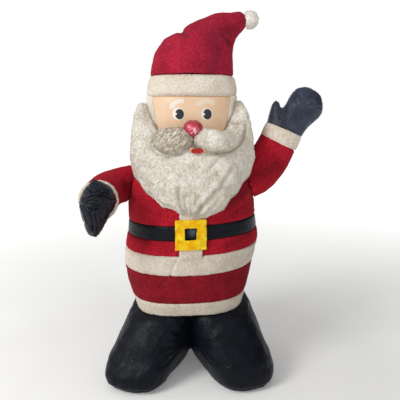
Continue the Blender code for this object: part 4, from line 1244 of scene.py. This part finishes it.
def wrinkleLeg(mesh, side):
    points, normals = readPoints(mesh), readNormals(mesh)
    shapeToes(points, side)
    local = points - origin
    x, y, z = local.T
    move = legs["slack"] * (drift(local, legs["slackSize"], 35)
                            + 0.5 * drift(local, legs["fineSize"], 37))
    stretched = local * np.array([1.0, 1.0, legs["wrinkleFlat"]])
    loose = ramp(drift(local, legs["looseSize"], 41), -0.4, 0.5)
    move -= legs["wrinkle"] * creases(stretched, legs["wrinkleSize"], 39, 0.5) * loose
    # the middle seam draws the cloth in, in a fan of folds
    crotchX, crotchZ = legs["crotch"]
    fromCrotch = np.hypot(x - crotchX, z - crotchZ)
    turn = np.arctan2(x - crotchX, z - crotchZ)
    fan = np.sin(turn / legs["fanAngle"] * math.tau / 2 + 2.0 * drift(local, 0.060, 43)) - 0.6
    facing = ramp(np.abs(normals[:, 1]), 0.15, 0.5) * (z > legs["fanAbove"])
    move += legs["gathers"] * fan * np.exp(-fromCrotch / legs["fanReach"]) * facing
    high = z > legs["middleSeamAbove"]
    move += puckered(local, np.abs(x), z, legs["middleSeam"], 45) * high
    # the seams down its front and its outer side, and round its sole
    near, along = fromPath(local[:, (0, 2)], legs[side]["line"])
    front = legs[side]["depth"] * ramp(-normals[:, 1], 0.05, 0.4)
    move += puckered(local, near, along, legs["frontSeam"], 47) * front
    outside = ramp(np.abs(x), 0.10, 0.16) * ramp(np.abs(normals[:, 0]), 0.3, 0.6)
    move += outside * puckered(local, np.abs(y - legs["sideSeamY"]), z, legs["sideSeam"], 49)
    aroundSole = np.arctan2(y + 0.10, np.abs(x) - 0.2) * 0.2
    move += puckered(local, np.abs(z - legs["soleLevel"]), aroundSole, legs["soleSeam"], 51)
    move *= ramp(z, 0.001, 0.012)       # the sole stays flat
    writePoints(mesh, points + normals * move[:, None])


for side, seed in (("low", 151), ("raised", 163)):
    sleeve = skin("sleeve_" + side, **arms["sleeve"])
    if side == "raised":
        points, way = readPoints(sleeve), np.array(arms["raisedWay"])
        along = points @ way
        end = ramp(along, along.max() - arms["raisedEnd"], along.max() - 0.005)
        writePoints(sleeve, points + end[:, None] * way * arms["raisedReach"])
    growPile(sleeve, coat["pile"], seed)
    paintShadowMarks(sleeve, arms["shaded"][side])
    dress("sleeveFleece_" + side, sleeve, redFleece, "red_fleece", "sleeve_" + side)
    cuff = skin("cuff_" + side, **arms["cuff"])
    growPile(cuff, arms["cuffPile"], seed + 1)
    dress("cuffFleece_" + side, cuff, creamFleece, "cream_fleece", "cuff_" + side)
    dress("mittenTaffeta_" + side, sewnMitten(side),
          mittenTaffeta if side == "raised" else shinyTaffeta, "black_nylon", "mitten_" + side)
    leg = skin("leg_" + side, legs["grain"], legs["rounds"], legs["cornerRounds"])
    wrinkleLeg(leg, side)
    dress("legTaffeta_" + side, leg, blackTaffeta, "black_nylon", "leg_" + side)
print("arms and legs dressed")


# Floor, light and camera

studio = {
    "floor": ("#f2f2f0", "#f6f6f4"), "cloud": 400,      # in mm, how wide its clouds are
    "glow": (0.13, 0.62), "glowFrom": (0.9, 4.2),   # the paper is lit from below, more further out
    # the room is white to look at, and its light comes mostly from this side
    "roomWay": (-0.62, -0.35, 0.70), "dimSky": 0.05, "brightSky": 0.74,
    # each light: place, what it looks at, size, spread in degrees, watts. The fill is for the head
    "key": ((-2.6, -2.1, 3.0), (0, 0, 1.15), 1.4, 180, 82),
    "fill": ((2.2, -2.2, 2.6), (0.12, 0, 1.36), 0.5, 26, 0.7),
    # from the body's middle, in metres, how far down it looks, in degrees, and its lens in mm
    "camera": (0.05, -2.5, 1.35), "cameraDown": 11, "lens": 44.64,
}
bpy.ops.mesh.primitive_plane_add(size=60, location=(0, 0, 0))
floor = bpy.context.object
floor.name = "floor"
# uncoated studio paper, rolled out: matt white, with no reflection to see
floorPaper, tree, shader, place = startMaterial("paperFloor", 0.9, 0.0, 0.5, "#ffffff", 0.2)
cloud = addNode(tree, "TexNoise", {"Vector": place, "Scale": 1000 / studio["cloud"],
                                   "Detail": 2})
white = addNode(tree, "ValToRGB", {"Fac": cloud.outputs["Fac"]},
                ((0.3, studio["floor"][0]), (0.7, studio["floor"][1])))
tree.links.new(white.outputs["Color"], shader.inputs["Base Color"])
farOut = addNode(tree, "VectorMath", {0: place}, operation="LENGTH").outputs["Value"]
glow = addNode(tree, "MapRange", {"Value": farOut, "From Min": studio["glowFrom"][0],
                                  "From Max": studio["glowFrom"][1], "To Min": studio["glow"][0],
                                  "To Max": studio["glow"][1]})
shader.inputs["Emission Color"].default_value = linear("#ffffff")
tree.links.new(glow.outputs["Result"], shader.inputs["Emission Strength"])
floor.data.materials.append(floorPaper)

world = bpy.data.worlds.new("studio")
bpy.context.scene.world = world
world.use_nodes = True
tree = world.node_tree
sky = tree.nodes["Background"]
sky.inputs["Color"].default_value = linear("#ffffff")
skyWay = addNode(tree, "TexCoord", {}).outputs["Generated"]
toward = addNode(tree, "VectorMath", {0: skyWay, 1: studio["roomWay"]}, operation="DOT_PRODUCT")
graded = addNode(tree, "MapRange", {"Value": toward.outputs["Value"], "From Min": -0.5,
                                    "From Max": 1.0, "To Min": studio["dimSky"],
                                    "To Max": studio["brightSky"]})
seen = addNode(tree, "LightPath", {}).outputs["Is Camera Ray"]
shown = addNode(tree, "Math", {0: graded.outputs["Result"], 1: seen}, operation="MAXIMUM")
tree.links.new(shown.outputs[0], sky.inputs["Strength"])

for name in ("key", "fill"):
    place, target, size, spread, watts = studio[name]
    light = bpy.data.objects.new(name, bpy.data.lights.new(name, "AREA"))
    light.data.size = size
    light.data.spread = math.radians(spread)
    light.data.energy = watts
    light.location = place
    light.rotation_euler = (Vector(target) - Vector(place)).to_track_quat("-Z", "Y").to_euler()
    bpy.context.scene.collection.objects.link(light)

camera = bpy.data.objects.new("camera", bpy.data.cameras.new("camera"))
camera.data.sensor_width = 36
camera.data.lens = studio["lens"]
camera.location = origin + studio["camera"]
camera.rotation_euler = (math.radians(90 - studio["cameraDown"]), 0, 0)
bpy.context.scene.collection.objects.link(camera)
bpy.context.scene.camera = camera
bpy.context.scene.view_settings.view_transform = "Standard"

print("stage set")
